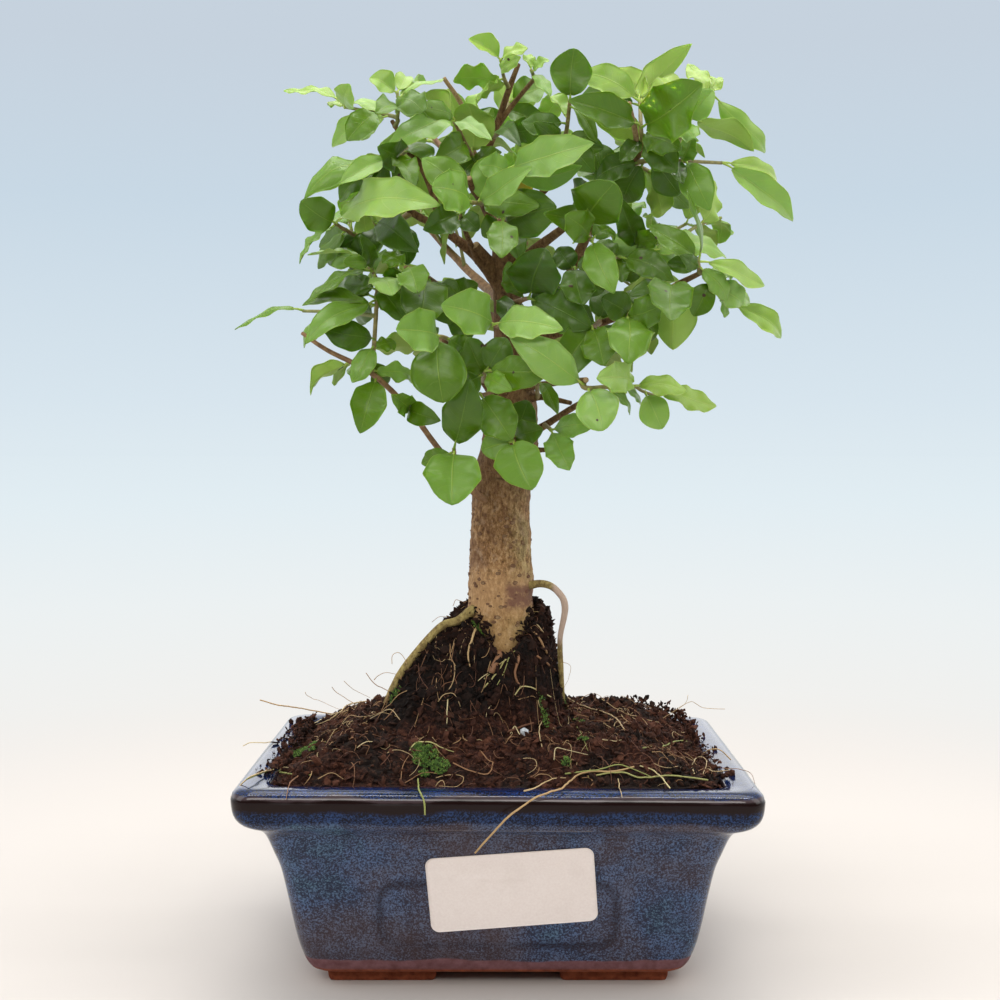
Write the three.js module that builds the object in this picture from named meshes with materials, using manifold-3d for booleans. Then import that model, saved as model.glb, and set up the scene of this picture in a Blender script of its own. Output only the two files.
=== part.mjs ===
// A chinese privet bonsai growing in its glazed clay pot, free-standing on four clay feet.
// Millimetres, +Z up, the front faces -Y. Pieces: pot, soil, trunk with its boughs and roots, blank sticker, and one
// leafy spray for each side shoot, twigs and leaves grown together.
import * as THREE from "three";
import Module from "manifold-3d";

const wasm = await Module();
wasm.setup();
const { Manifold, Mesh } = wasm;

// The pot, a rounded oblong with straight flaring walls and a thick rolled rim
const RIM_HALF_WIDTH = 77;
const DEPTH_LESS = 17;
const RIM_HEIGHT = 63.4;
const RIM_DIP = 0.008;
const CORNER_STEPS = 3;
const POT_PROFILE = [
  { half: 52, z: 3.9, corner: 6 },
  { half: 55.9, z: 4.4, corner: 7 },
  { half: 57.6, z: 6, corner: 7.5 },
  { half: 59, z: 9, corner: 8 },
  { half: 60.3, z: 13.3, corner: 8 },
  { half: 61.6, z: 19.5, corner: 8 },
  { half: 63, z: 27.5, corner: 8 },
  { half: 64.8, z: 36.5, corner: 8 },
  { half: 66.7, z: 42.2, corner: 8 },
  { half: 68.6, z: 47.6, corner: 7.5 },
  { half: 70.3, z: 50.4, corner: 7 },
  { half: 74.6, z: 52, corner: 6.5 },
  { half: RIM_HALF_WIDTH, z: 55, corner: 6.5 },
  { half: RIM_HALF_WIDTH, z: 60.2, corner: 6.5 },
  { half: 75.9, z: 62.3, corner: 6.5 },
  { half: 73, z: RIM_HEIGHT, corner: 6 },
  { half: 68.4, z: 63.2, corner: 6 },
  { half: 66.8, z: 61.8, corner: 6 },
];
const CAVITY_PROFILE = [
  { half: 63, z: 52.5, corner: 6 },
  { half: 59.5, z: 39, corner: 6 },
  { half: 56.7, z: 24, corner: 6 },
  { half: 53.5, z: 13.5, corner: 6 },
  { half: 50, z: 11, corner: 6 },
];
const DRAIN_RADIUS = 7;
const FOOT = { inner: 18.8, outer: 51.8, side: 34.8, back: 8, leg: 9, height: 5 };

// The soil fills the pot up to the rim and is heaped around the root ball
const SEAM = 0.3;
const SOIL_STEPS = [
  { scale: 0.985, round: { radius: 0, share: 0 } },
  { scale: 0.89, round: { radius: 50, share: 0.1 } },
  { scale: 0.77, round: { radius: 44, share: 0.3 } },
  { scale: 0.66, round: { radius: 38, share: 0.65 } },
  { scale: 0.55, round: { radius: 32, share: 0.9 } },
  { scale: 0.45, round: { radius: 27, share: 1 } },
  { scale: 0.4, round: { radius: 23, share: 1 } },
  { scale: 0.35, round: { radius: 19, share: 1 } },
  { scale: 0.3, round: { radius: 15.5, share: 1 } },
  { scale: 0.25, round: { radius: 12.5, share: 1 } },
];
const SOIL_CENTRE = { x: 2.5, y: 0 };

// The blank paper sticker on the front wall, a little askew
const STICKER = { left: -19.6, bottom: 18.3, width: 49.4, height: 23.6, tilt: 0.08, thickness: 0.6 };

// The eye that the tree was drawn from: places are given as picture points and a depth towards the viewer
const EYE = { x: 0.6, distance: 454, height: 162, pitch: 0.0379, focal: 1400, middle: 500 };

// Leaves: blades with a short stalk, stations run from the stalk to the tip
const BLADE = { thickness: 0.7, arch: 0.1, twist: 0.3, stalkShare: 0.1 };
const BROAD_STATIONS = [0.28, 0.55, 0.8];
const NARROW_STATIONS = [0.34, 0.7];
const BROAD_FROM = 13.5;
const ROOT = { half: 0.42, narrow: 0.14, apart: 0.12, match: 0.05, touch: 0.004, shifts: [0, 0.7, -0.7, 1.4, -1.4, 2.1, -2.1] };
const CLEAR_OF_OTHERS = 0.3;
const CLEAR_OF_OWN = 0.06;
const BENDS = [0, 0.17, -0.17, 0.34, -0.34, 0.52, -0.52, 0.74, -0.74];
const SWINGS = [0, 0.14, -0.14, 0.3, -0.3];
const TRUNK_SIDES = 8;
const BOUGH_SIDES = 4;
const STEM_SIDES = 4;

// Shoots at the back and inside of the crown, which follow a rule
const CROWN = { x: 5, y: 0, z: 220 };
const SHOOT = { seed: 20261, count: 3, tries: 14, shortest: 14, longest: 24, radii: [0.8, 0.7, 0.6] };
const SHOOT_NODES = [0.5, 0.97];
const SHOOT_LEAF = { length: 20.5, shrink: 3, share: 0.52, reach: 0.62, spread: 0.8 };
const CROWN_OUTLINE = { x: 515, y: 246, wide: 216, tall: 186, power: 2.3 };
const SKY_GAPS = [[442, 252, 20], [640, 272, 14], [600, 430, 60], [455, 285, 12], [400, 440, 60], [528, 60, 22]];

// Pale wood and bark: one path for each bough, root and stub, as [picture x, picture y, depth, radius]
const WOOD_PATHS = {
  "trunk": [[504,700,0,12.5],[503,668,0,11.6],[502,640,0,11],[500.5,596,0,10.7],[500.4,537,0,9.6],
    [500.5,488,0,9.3],[502,473,0,9.1],[509.5,444,2,8.8],[512,415,3,8.1],[512,390,4,7.3],
    [512,365,4,6.5],[511,340,4,5.6],[509,315,4,4.9],[506,290,3,4.3],[504,268,3,3.8],
    [500,238,2,2.6]],
  "left_root": [[488,604,4,2.4],[470,612,6,2],[457,621,7,1.6],[439,628,8,1.5],[407,665,10,1.6],
    [394,687,11,1.6],[386,704,11,1.2]],
  "loop_root": [[518,590,2,2.4],[531,585,4,1.9],[544,584,5,1.7],[556,590,6,1.6],[565,606,7,1.6],
    [560,639,7,1.3],[561,668,7,1.2]],
  "left_bough": [[504,288,3,3.4],[485,265,4,2.6],[470,250,6,2.1],[440,228,10,1.5],[412,212,14,1.3],
    [392,188,18,1]],
  "cut_stub": [[500,240,3,2.4],[493,223,12,1.5],[482,203,26,1.2],[473,190,40,1.1],[469,178,46,1]],
  "middle_bough": [[503,252,3,2.6],[506,226,6,1.7],[531,204,12,1.5],[545,190,18,1.3],[557,176,26,1.2]],
  "right_bough": [[510,276,3,2.8],[531,253,8,2],[561,230,18,1.5],[580,215,26,1.2]],
  "knob_right": [[508,262,3,3],[518,250,6,2.8],[524,242,9,2.4]],
  "knob_left": [[492,266,3,3],[482,254,7,2.6],[475,245,10,2.3]],
  "tall_right": [[522,338,3,3.6],[548,316,4,2.6],[565,293,5,2.2],[573,267,7,2],[584,242,10,1.8],
    [592,224,14,1.7],[604,200,20,1.5],[617,183,26,1.4],[631,167,30,1.3],[643,146,35,1.1]],
  "pale_stub": [[637,157,31,1.1],[636,136,40,1],[629,103,50,0.8]],
  "side_twig": [[578,256,8,1.8],[596,262,14,1.3],[620,257,22,1.1],[639,244,31,0.9]],
  "long_right": [[520,346,4,2.8],[556,334,8,1.6],[595,325,16,1.3],[630,312,28,1.2],
    [656,299,34,1.1],[671,288,38,1.1],[690,278,41,1],[707,270,44,0.8]],
  "lower_right": [[516,438,4,2.8],[540,428,9,1.5],[574,407,20,1.1],[590,398,24,0.9]],
  "thin_right": [[516,402,4,2.4],[540,397,10,1.2],[571,403,16,0.8]],
  "cut_end": [[516,388,4,2.6],[548,384,22,1.6],[570,381,40,1.4],[586,380,56,1.3]],
  "left_fork": [[510,402,4,3],[496,396,10,2],[485,382,18,1.8],[469,359,27,1.6],[459,346,33,1.4],
    [444,340,38,1.1]],
  "leader": [[502,252,3,2.8],[494,225,-2,2.1],[482,200,-5,1.8],[478,180,-6,1.7],[483,162,-6,1.6],[495,131,-4,1.4],
    [508,92,-2,1.2],[518.5,64,0,0.9]],
  "leader_stub": [[498,124,-4,1.2],[519,97,0,0.9],[537,76,4,0.8]],
  "left_upper": [[446,232,9,1.7],[437,210,14,1.4],[431,188,18,1.3],[419,163,21,1.2],[407,150,22,1],
    [400,135,22,0.9],[392,121,21,0.8]],
  "pale_twig": [[480,172,-6,1.4],[470,140,0,1],[462,106,6,0.9],[444,78,9,0.8]],
  "small_stub": [[528,450,4,1.6],[540,450,10,1],[551,449,14,0.7]],
  "dark_twig": [[478,262,6,1.6],[469,240,12,1.3],[460,219,20,1]]
};

// Shoots drawn from sight: twigs as above, then leaves as [picture x and y on the twig, picture x and y of the
// tip, depth of the tip, width, roll in degrees from facing the viewer towards the sky, age from 0 to 1]
const SPRAYS = {
  "left_low": {"stems": [[[498,506,4,1.7],[474,492,10,1.5],[438,448,18,1.2],[407,407,24,1.1],[371,373,28,1.1],
      [327,350,30,0.9],[302,333,30,0.7]], [[371,373,28,1],[374,345,26,0.9],[377,294,22,0.8],[377,280,20,0.7],
      [367,262,20,0.6]], [[376,316,24,0.8],[340,312,12,0.7],[303,311,2,0.6]],
      [[460,474,14,1],[455,464,24,0.9],[454,449,36,0.8]]],
    "leaves": [[376,378,361,430,36,9.5,0,0.5],[411,405,393,396,40,6,0,0.5],[413,406,436,419,34,6.5,0,0.6],
      [374,360,387,388,20,6,10,0.6],[350,362,307,393,36,6,130,0.15],[352,363,333,384,22,6,100,0.2],
      [372,356,346,371,18,6,60,0.4],[375,340,326,329,36,8.5,20,0.9],[377,300,298,346,36,8,30,0.35],
      [376,306,302,303,28,7,50,0.55],[303,311,233,327,-4,4.5,72,0.1],[377,290,344,283,16,7,20,0.9],
      [373,272,306,297,32,6,60,0.6],[377,282,392,293,44,9,50,0.2],[367,263,343,262,32,4.5,30,0.5],
      [367,262,307,254,18,5,84,0.25],[372,270,363,240,30,4.5,20,0.7],[375,276,385,248,10,5,40,0.3],
      [376,310,396,300,4,6,40,0.6],[374,350,396,340,22,5,40,0.5],
      [454,450,452,505,46,15,0,0.35],[454,449,470,378,46,11,0,0.85],[454,452,421,464,28,5,10,0.6],
      [368,264,318,252,8,7,30,0.5],[377,288,404,318,30,7,10,0.8],[374,347,350,386,32,6.5,20,0.25],
      [371,371,404,376,16,6.5,50,0.3],[377,298,326,284,8,8,20,0.5],[377,296,316,330,4,8,15,0.3],
      [377,304,345,326,2,8,10,0.9],[340,312,306,340,2,7,40,0.35]]},
  "left_round": {"stems": [[[459,346,33,0.9],[446,338,44,0.8],[437,336,48,0.7]]],
    "leaves": [[437,338,443,402,52,14.5,0,0.6],[439,337,397,329,58,11.5,15,0.2],
      [446,338,470,352,40,6,10,0.7]]},
  "left_inner": {"stems": [[[466,306,2,1.2],[440,286,12,1],[418,271,28,0.8],[405,267,34,0.7]]],
    "leaves": [[408,268,419,297,42,8.5,0,0.35],[426,276,420,331,36,13,0,0.75],[438,285,459,302,24,8,10,0.8],
      [408,269,398,316,24,10,0,0.85],[406,268,384,252,30,6,40,0.6],
      [428,279,452,326,18,9,0,0.8],[456,299,466,342,12,9,0,0.8],[419,272,396,304,8,8,0,0.85],
      [450,294,478,284,20,7.5,10,0.7]]},
  "left_far": {"stems": [[[412,212,14,1.2],[390,226,8,1],[362,236,8,0.9],[344,229,16,0.8],[335,223,24,0.7]],
      [[380,230,8,0.9],[374,221,22,0.7]]],
    "leaves": [[336,223,301,201,30,9.5,0,0.6],[336,224,433,201,56,12,35,0.1],[337,225,298,263,22,4.5,75,0.4],
      [346,230,324,273,8,6,40,0.7],[360,236,340,252,12,6,20,0.9],[374,222,414,249,36,9.5,0,0.85],
      [376,228,364,254,20,7,10,0.85],[374,221,348,200,14,5,40,0.8],
      [398,220,408,264,12,8,0,0.9],[386,228,350,268,4,8,10,0.85],[354,233,318,246,8,7,40,0.8]]},
  "left_top": {"stems": [[[407,150,22,0.9],[397,157,28,0.8],[387,160,34,0.7]]],
    "leaves": [[397,157,304,190,42,9,45,0.35],[398,156,346,172,24,6,110,0.2],[388,160,340,183,44,6,30,0.25],
      [397,156,367,142,42,9,0,0.95],[389,161,338,201,30,7,30,0.7],[392,159,416,182,44,6.5,50,0.7],
      [390,159,372,196,20,8.5,10,0.85],[397,157,412,192,24,7.5,10,0.8],[402,153,434,148,14,8,50,0.6]]},
  "left_tip": {"stems": [[[395,127,21,0.8],[397,118,24,0.8],[377,113,20,0.7],[345,107,14,0.6]],
      [[397,118,24,0.7],[399,105,28,0.7],[397,92,28,0.6]]],
    "leaves": [[345,107,283,87,8,5,60,0.05],[345,107,350,84,26,7,40,0.05],[346,107,330,104,4,4.5,60,0.05],
      [385,115,350,103,12,5.5,60,0.1],[378,113,348,139,30,8,10,0.45],[382,114,331,147,8,6,30,0.15],
      [390,116,352,141,14,6,40,0.1],[397,93,370,77,30,7,30,0.05],[397,93,406,76,18,5,20,0.1],
      [398,97,424,112,42,9,30,0.75],[399,108,377,111,40,7,50,0.5],[399,103,443,76,12,6,70,0.15]]},
  "upper_left": {"stems": [[[481,170,-6,1.2],[468,150,6,1],[456,124,16,0.8],[449,114,20,0.7]]],
    "leaves": [[454,118,423,96,14,9,130,0.1],[454,120,422,107,30,6.5,30,0.6],[455,123,402,137,38,8.5,35,0.3],
      [456,126,490,135,34,5.5,50,0.35],[472,156,468,102,14,12.5,165,0.35],[466,147,438,153,20,7,20,0.6],
      [474,160,500,152,16,6,30,0.7],
      [464,142,430,164,22,9,0,0.6],[477,165,452,192,18,9,10,0.7],[471,154,494,178,8,8,0,0.8]]},
  "front_top": {"stems": [[[482,203,26,1],[477,203,44,0.8],[469,202,54,0.7]]],
    "leaves": [[469,202,422,158,54,9,15,0.45],[470,202,433,187,68,11,25,0.15],[475,203,472,178,62,11,15,0.05],
      [477,203,521,172,60,7.5,15,0.1],[478,203,498,155,46,9.5,0,0.35],[480,203,527,203,50,8,25,0.5]]},
  "front_crest": {"stems": [[[520,212,10,1.1],[514,192,30,0.9],[508,170,44,0.7]]],
    "leaves": [[508,169,588,141,60,10,20,0.15],[510,176,582,166,48,6.5,-20,0.35],[514,190,528,166,34,8,0,1.2],
      [509,173,480,165,48,7.5,20,0.2]]},
  "crest": {"stems": [[[509,88,-2,0.9],[504,78,4,0.8],[501,61,9,0.6]]],
    "leaves": [[501,61,469,38,12,6.5,40,0.02],[501,61,526,46,14,5.5,60,0.02],[505,80,453,80,4,10,130,0.15],
      [507,84,478,99,12,7,110,0.2],[503,72,520,57,20,4,20,0.1]]},
  "crest_back": {"stems": [[[500,118,-4,0.9],[506,108,-14,0.8],[512,98,-20,0.7]]],
    "leaves": [[510,100,536,102,-30,11,165,0.2],[508,104,496,84,-24,8,160,0.25],[504,110,545,120,-6,7,20,0.6],
      [505,110,478,134,-16,9,10,0.45],[509,103,544,84,-22,8.5,20,0.5]]},
  "crest_low": {"stems": [[[494,136,-4,1],[498,134,8,0.8],[502,132,14,0.7]]],
    "leaves": [[502,132,547,124,20,7.5,-20,0.85],[498,135,540,145,26,5.5,40,0.9]]},
  "stub_shoot": {"stems": [[[534,80,3,0.8],[533,74,7,0.7],[531,70,9,0.6]]],
    "leaves": [[531,71,527,54,4,3.5,20,0.1],[532,72,549,60,8,4.5,50,0.1],[534,76,552,92,14,5,60,0.2]]},
  "top_right": {"stems": [[[557,176,26,1],[562,150,30,0.9],[567,128,36,0.8],[570,100,44,0.7]]],
    "leaves": [[570,101,574,48,48,10.5,0,0.7],[568,119,545,97,34,6,60,0.15],[567,124,521,122,34,6.5,20,0.9],
      [563,146,537,124,50,6,10,0.8],[569,106,600,140,40,5,40,0.6],[565,140,604,148,36,7,20,0.7],
      [560,160,538,184,30,7.5,0,0.85],[565,140,592,170,40,8.5,0,0.8]]},
  "right_crown": {"stems": [[[643,146,35,0.9],[641,128,44,0.8],[640,101,38,0.7]]],
    "leaves": [[641,128,702,84,62,14,0,0.5],[640,126,571,99,52,8.5,15,0.75],[642,140,594,113,30,8.5,150,0.5],
      [640,102,578,70,34,8,20,0.12],[640,101,616,71,14,7.5,150,0.15],[640,101,664,69,16,8,150,0.15],
      [640,106,581,96,20,6,30,0.7],[640,103,696,80,24,8,30,0.02],[642,134,682,150,52,8,20,0.75],
      [642,142,620,161,42,5,20,0.9],[642,138,676,171,46,8.5,0,0.9]]},
  "right_upper": {"stems": [[[634,163,31,1],[655,160,36,0.9],[683,161,36,0.8],[702,162,31,0.7],[722,163,24,0.6]],
      [[672,161,36,0.8],[682,134,34,0.8],[698,108,28,0.7],[711,94,24,0.6]]],
    "leaves": [[722,163,798,219,18,7.5,30,0.1],[722,163,780,179,8,5.5,40,0.06],[686,161,708,206,44,9,0,0.4],
      [682,161,692,137,44,5.5,0,0.3],[676,161,683,184,46,5,10,0.95],[684,130,707,151,46,5.5,20,0.6],
      [692,118,754,151,18,9,140,0.15],[690,121,712,90,38,8,20,0.15],[706,100,735,117,20,5,40,0.06],
      [711,94,768,153,8,6.5,30,0.06],[710,95,717,76,18,5,20,0.08],[706,99,691,70,14,6,30,0.08],
      [660,160,664,192,30,8,150,0.5],
      [644,162,626,196,22,8.5,0,0.8],[652,160,676,190,28,8.5,10,0.85],[640,162,606,174,22,8,20,0.8]]},
  "right_mid": {"stems": [[[700,273,43,0.9],[699,267,46,0.8],[697,258,48,0.7]]],
    "leaves": [[697,261,687,189,46,5,75,0.75],[697,260,651,223,50,6.5,25,0.5],[699,267,680,255,56,4.5,10,0.9],
      [699,268,666,264,44,5,10,0.8],[698,262,766,285,36,6.5,40,0.15],[699,266,719,291,36,5.5,30,0.2]]},
  "right_tip": {"stems": [[[707,270,44,0.9],[711,282,42,0.8],[720,295,36,0.7],[730,303,30,0.6]]],
    "leaves": [[711,281,700,303,50,7,10,0.75],[712,284,747,305,44,7,20,0.15],[716,290,750,303,30,6,30,0.1],
      [730,303,785,338,22,6.5,20,0.08],[722,297,726,317,38,4,60,0.2],[708,273,738,282,46,5,50,0.2]]},
  "right_inner": {"stems": [[[637,245,30,0.8],[642,249,32,0.8],[648,252,30,0.7]]],
    "leaves": [[647,252,729,252,26,9,45,0.1],[642,249,612,236,28,8,20,0.25],[643,250,684,262,20,6,30,0.15],
      [641,248,657,240,50,6,20,0.7],[640,247,625,213,50,7.5,0,0.9],
      [640,247,612,272,20,8.5,0,0.85],[646,251,676,230,16,7.5,30,0.6]]},
  "right_fore": {"stems": [[[612,259,19,1],[617,259,34,0.8],[620,257,42,0.7]]],
    "leaves": [[620,257,674,280,48,7.5,20,0.75],[619,258,622,282,44,5,10,0.8],[617,259,598,240,30,6,30,0.7]]},
  "centre_right": {"stems": [[[570,223,22,1.2],[584,228,40,0.9],[592,241,50,0.7]],
      [[578,226,34,0.9],[584,222,48,0.7]]],
    "leaves": [[592,241,612,289,60,8.5,0,0.3],[590,238,565,215,62,9,10,0.6],[584,222,613,184,62,14,0,0.8],
      [580,226,547,214,54,8,10,0.6],[592,240,610,226,40,7,20,0.75]]},
  "right_back": {"stems": [[[604,200,20,0.9],[602,188,12,0.8],[600,176,8,0.7]]],
    "leaves": [[600,177,596,143,8,9,0,0.75],[601,182,582,166,2,7,10,0.7],[602,186,624,168,4,6,10,0.7],
      [603,196,570,190,4,8.5,0,0.85],[602,186,632,152,2,8,20,0.7],[603,197,590,232,2,8,10,0.85]]},
  "right_shade": {"stems": [[[631,167,30,0.9],[642,168,26,0.8],[650,172,24,0.7]]],
    "leaves": [[650,172,663,218,30,9,150,0.55],[645,170,655,212,12,8,140,0.2],[650,172,676,182,10,5,30,0.3],
      [641,168,618,200,14,9,0,0.8],[648,171,690,208,18,8,20,0.6]]},
  "centre_front": {"stems": [[[506,226,6,1.3],[502,224,36,0.9],[499,220,52,0.7]]],
    "leaves": [[499,221,501,257,64,8,0,0.6],[503,224,546,210,50,13,0,0.8],[504,225,515,250,40,8,10,0.8],
      [502,223,482,236,40,7,10,0.9]]},
  "centre_dark": {"stems": [[[512,304,6,1.4],[522,300,26,1],[529,298,36,0.7]]],
    "leaves": [[529,298,545,250,44,14,0,0.9],[524,299,509,264,38,7,0,0.85],[527,299,562,300,44,9,0,0.9],
      [529,298,590,327,46,11,0,0.85],
      [517,302,498,332,20,8.5,10,0.9]]},
  "right_dark": {"stems": [[[571,275,7,1.2],[573,272,28,0.9],[575,268,42,0.7]]],
    "leaves": [[575,268,583,305,50,9,0,0.85],[573,270,558,247,32,7,10,0.85],[574,269,602,262,36,6,20,0.8],
      [574,270,604,292,34,8.5,0,0.85]]},
  "centre_pale": {"stems": [[[509,328,9,1.4],[502,328,36,0.9],[494,325,54,0.7]]],
    "leaves": [[494,325,560,325,64,9.5,30,0.12],[495,326,442,305,66,11.5,20,0.12]]},
  "centre_low": {"stems": [[[484,381,18,1.2],[484,375,36,0.8],[486,371,46,0.7]]],
    "leaves": [[486,371,551,371,56,9,10,0.55],[486,372,512,391,60,6,0,0.5],[484,374,468,339,48,8.5,0,0.75],
      [486,371,507,338,46,8.5,10,0.75],
      [485,374,452,394,32,8.5,10,0.8]]},
  "trunk_left": {"stems": [[[492,393,12,1.2],[484,395,26,0.9],[480,394,34,0.7]]],
    "leaves": [[480,394,512,440,40,11,0,0.45]]},
  "trunk_front": {"stems": [[[512,425,10,1.4],[514,437,26,0.9],[513,441,38,0.7]]],
    "leaves": [[513,441,531,488,48,12.5,0,0.35],[513,441,481,450,40,7.5,0,0.45],[514,438,543,429,36,7.5,0,0.7],
      [514,434,528,401,26,8.5,0,0.85]]},
  "right_low": {"stems": [[[582,381,52,1.3],[586,388,54,0.9],[606,387,52,0.8],[632,386,48,0.7],[642,391,44,0.6],
      [655,396,40,0.6]]],
    "leaves": [[585,386,514,336,62,10,15,0.12],[588,388,603,431,62,11,0,0.2],[630,386,600,378,68,8,20,0.12],
      [633,386,687,391,50,7,40,0.15],[655,396,717,406,34,6.5,30,0.1],[645,392,662,429,44,8,0,0.1],
      [628,386,612,364,38,6,30,0.5],[606,387,632,414,46,4,60,0.4],[622,387,645,408,42,3.5,60,0.3]]},
  "right_hang": {"stems": [[[600,322,17,1.1],[596,325,36,0.9],[592,327,44,0.7]]],
    "leaves": [[592,328,604,366,54,9.5,0,0.5],[596,325,583,352,60,10,0,0.65],
      [598,323,570,320,16,8.5,0,0.85],[595,325,622,350,24,8.5,10,0.8],[599,322,606,288,12,9,0,0.85]]},
  "right_round": {"stems": [[[630,312,28,1],[629,315,40,0.8],[628,317,48,0.7]]],
    "leaves": [[628,317,628,356,64,12,0,0.5],[628,317,662,305,58,8.5,0,0.65],[629,315,603,298,44,8,10,0.85],
      [629,315,658,338,34,8.5,10,0.8]]},
  "right_long": {"stems": [[[671,288,38,0.9],[673,286,46,0.8],[674,285,52,0.7]]],
    "leaves": [[674,286,669,339,60,11.5,0,0.7],[673,287,673,355,36,12,170,0.25],[672,287,628,296,50,5.5,20,0.8],
      [672,287,702,322,34,7,20,0.6]]},
  "low_pair": {"stems": [[[545,425,11,0.9],[549,428,24,0.8],[551,430,32,0.7]]],
    "leaves": [[551,430,594,424,46,6.5,10,0.3],[551,430,567,465,44,8,0,0.3]]},
  "thin_shoot": {"stems": [[[538,397,10,0.9],[537,388,20,0.8],[538,382,26,0.7]]],
    "leaves": [[538,382,559,412,32,4.5,40,0.5],[538,384,568,384,20,7,30,0.25]]},
  "dark_pair": {"stems": [[[464,228,17,1],[461,218,30,0.8],[460,213,36,0.7]]],
    "leaves": [[460,213,425,229,44,8,0,0.85],[461,216,443,264,20,6,100,0.2],[461,217,478,230,36,6,10,0.9]]}
};

// Thin boughs into the back and sides of the crown, which carry the shoots that follow the rule
const BOUGHS = {
  "back_left": [[503,300,2,2.6],[480,282,-20,1.9],[450,252,-38,1.5],[422,222,-50,1]],
  "back_top": [[503,262,2,2.4],[516,236,-22,1.9],[528,196,-42,1.5],[536,158,-52,1]],
  "back_right": [[513,330,2,2.6],[550,300,-24,1.9],[588,276,-42,1.5],[622,252,-54,1]],
  "back_low_left": [[505,384,0,2.4],[480,362,-26,1.8],[452,345,-44,1.4],[430,332,-56,1]],
  "back_low_right": [[514,372,0,2.4],[540,356,-26,1.8],[570,342,-48,1.3],[592,334,-60,1]],
  "side_right": [[520,352,2,2.4],[570,306,-14,1.8],[630,262,-18,1.4],[676,240,-18,1]],
  "side_left": [[500,322,0,2.4],[450,300,-12,1.8],[400,276,-18,1.4],[356,256,-18,1]],
  "crest_left": [[481,192,-5,1.6],[455,165,-18,1.3],[432,135,-26,1]],
  "crest_right": [[588,232,11,1.6],[612,190,-8,1.3],[640,145,-16,1]],
  "deep_back": [[508,280,1,2.2],[512,262,-30,1.8],[516,246,-54,1.3],[518,232,-66,1]]
};

const vec = (x, y, z) => new THREE.Vector3(x, y, z);

// A point of the picture at a depth in front of the trunk, as a place in space
function place(pictureX, pictureY, depth) {
  const across = (pictureX - EYE.middle) / EYE.focal;
  const up = -(pictureY - EYE.middle) / EYE.focal;
  const sine = Math.sin(EYE.pitch);
  const cosine = Math.cos(EYE.pitch);
  const reach = (EYE.distance - depth) / (up * sine + cosine);
  return vec(EYE.x + across * reach, -depth, EYE.height + reach * (up * cosine - sine));
}

// Where a place in space is seen in the picture
function seen(point) {
  const sine = Math.sin(EYE.pitch);
  const cosine = Math.cos(EYE.pitch);
  const along = point.y + EYE.distance;
  const rise = point.z - EYE.height;
  const forward = along * cosine - rise * sine;
  const upward = along * sine + rise * cosine;
  return [
    EYE.middle + (EYE.focal * (point.x - EYE.x)) / forward,
    EYE.middle - (EYE.focal * upward) / forward,
  ];
}

function repeatable(seed) {
  let state = seed >>> 0;
  return () => {
    state = (state + 0x6d2b79f5) >>> 0;
    let mixed = state;
    mixed = Math.imul(mixed ^ (mixed >>> 15), mixed | 1);
    mixed ^= mixed + Math.imul(mixed ^ (mixed >>> 7), mixed | 61);
    return ((mixed ^ (mixed >>> 14)) >>> 0) / 4294967296;
  };
}

function solidOf(vertices, triangles) {
  let volume = 0;
  for (let i = 0; i < triangles.length; i += 3) {
    const [a, b, c] = [0, 1, 2].map((k) => vertices[triangles[i + k]]);
    volume += a.dot(vec(0, 0, 0).crossVectors(b, c));
  }
  const order = volume < 0 ? [0, 2, 1] : [0, 1, 2];
  const triVerts = new Uint32Array(triangles.length);
  for (let i = 0; i < triangles.length; i += 3) {
    order.forEach((k, j) => {
      triVerts[i + j] = triangles[i + k];
    });
  }
  const vertProperties = new Float32Array(vertices.flatMap((p) => [p.x, p.y, p.z]));
  return new Manifold(new Mesh({ numProp: 3, vertProperties, triVerts }));
}

// A closed skin over rings of equally many points, with a flat or pointed end, and a flat or sharp-edged start
function loft(rings, point = null, edge = null) {
  const count = rings[0].length;
  const vertices = rings.flat();
  const triangles = [];
  for (let r = 0; r + 1 < rings.length; r += 1) {
    for (let i = 0; i < count; i += 1) {
      const a = r * count + i;
      const b = r * count + ((i + 1) % count);
      if (i * 2 < count) triangles.push(a, b, b + count, a, b + count, a + count);
      else triangles.push(a, b, a + count, b, b + count, a + count);
    }
  }
  const last = (rings.length - 1) * count;
  if (edge !== null) {
    const top = vertices.length;
    vertices.push(...edge);
    triangles.push(top, 1, 0, top + 1, 3, 2, top, 2, 1, top, top + 1, 2, top, 0, 3, top, 3, top + 1);
  } else if (count < 5) {
    for (let i = 2; i < count; i += 1) triangles.push(0, i, i - 1);
  } else {
    vertices.push(middleOf(rings[0]));
    for (let i = 0; i < count; i += 1) triangles.push(vertices.length - 1, (i + 1) % count, i);
  }
  if (point === null && count < 5) {
    for (let i = 2; i < count; i += 1) triangles.push(last, last + i - 1, last + i);
  } else {
    vertices.push(point ?? middleOf(rings[rings.length - 1]));
    for (let i = 0; i < count; i += 1) triangles.push(vertices.length - 1, last + i, last + ((i + 1) % count));
  }
  return solidOf(vertices, triangles);
}

function middleOf(ring) {
  const sum = vec(0, 0, 0);
  ring.forEach((p) => sum.add(p));
  return sum.divideScalar(ring.length);
}

const union = (solids) => Manifold.union(solids);

// The rim of the real pot sags a little to the right
const sag = (x, z) => z * (1 - (RIM_DIP * x) / RIM_HALF_WIDTH);

function oblongRing({ half, z, corner }, grow = 0) {
  const halfX = half + grow;
  const halfY = half - DEPTH_LESS + grow;
  const ring = [];
  [[1, -1], [1, 1], [-1, 1], [-1, -1]].forEach(([sx, sy], quarter) => {
    for (let i = 0; i <= CORNER_STEPS; i += 1) {
      const angle = (quarter - 1 + i / CORNER_STEPS) * (Math.PI / 2);
      const x = sx * (halfX - corner) + corner * Math.cos(angle);
      const y = sy * (halfY - corner) + corner * Math.sin(angle);
      ring.push(vec(x, y, sag(x, z)));
    }
  });
  return ring;
}

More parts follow.
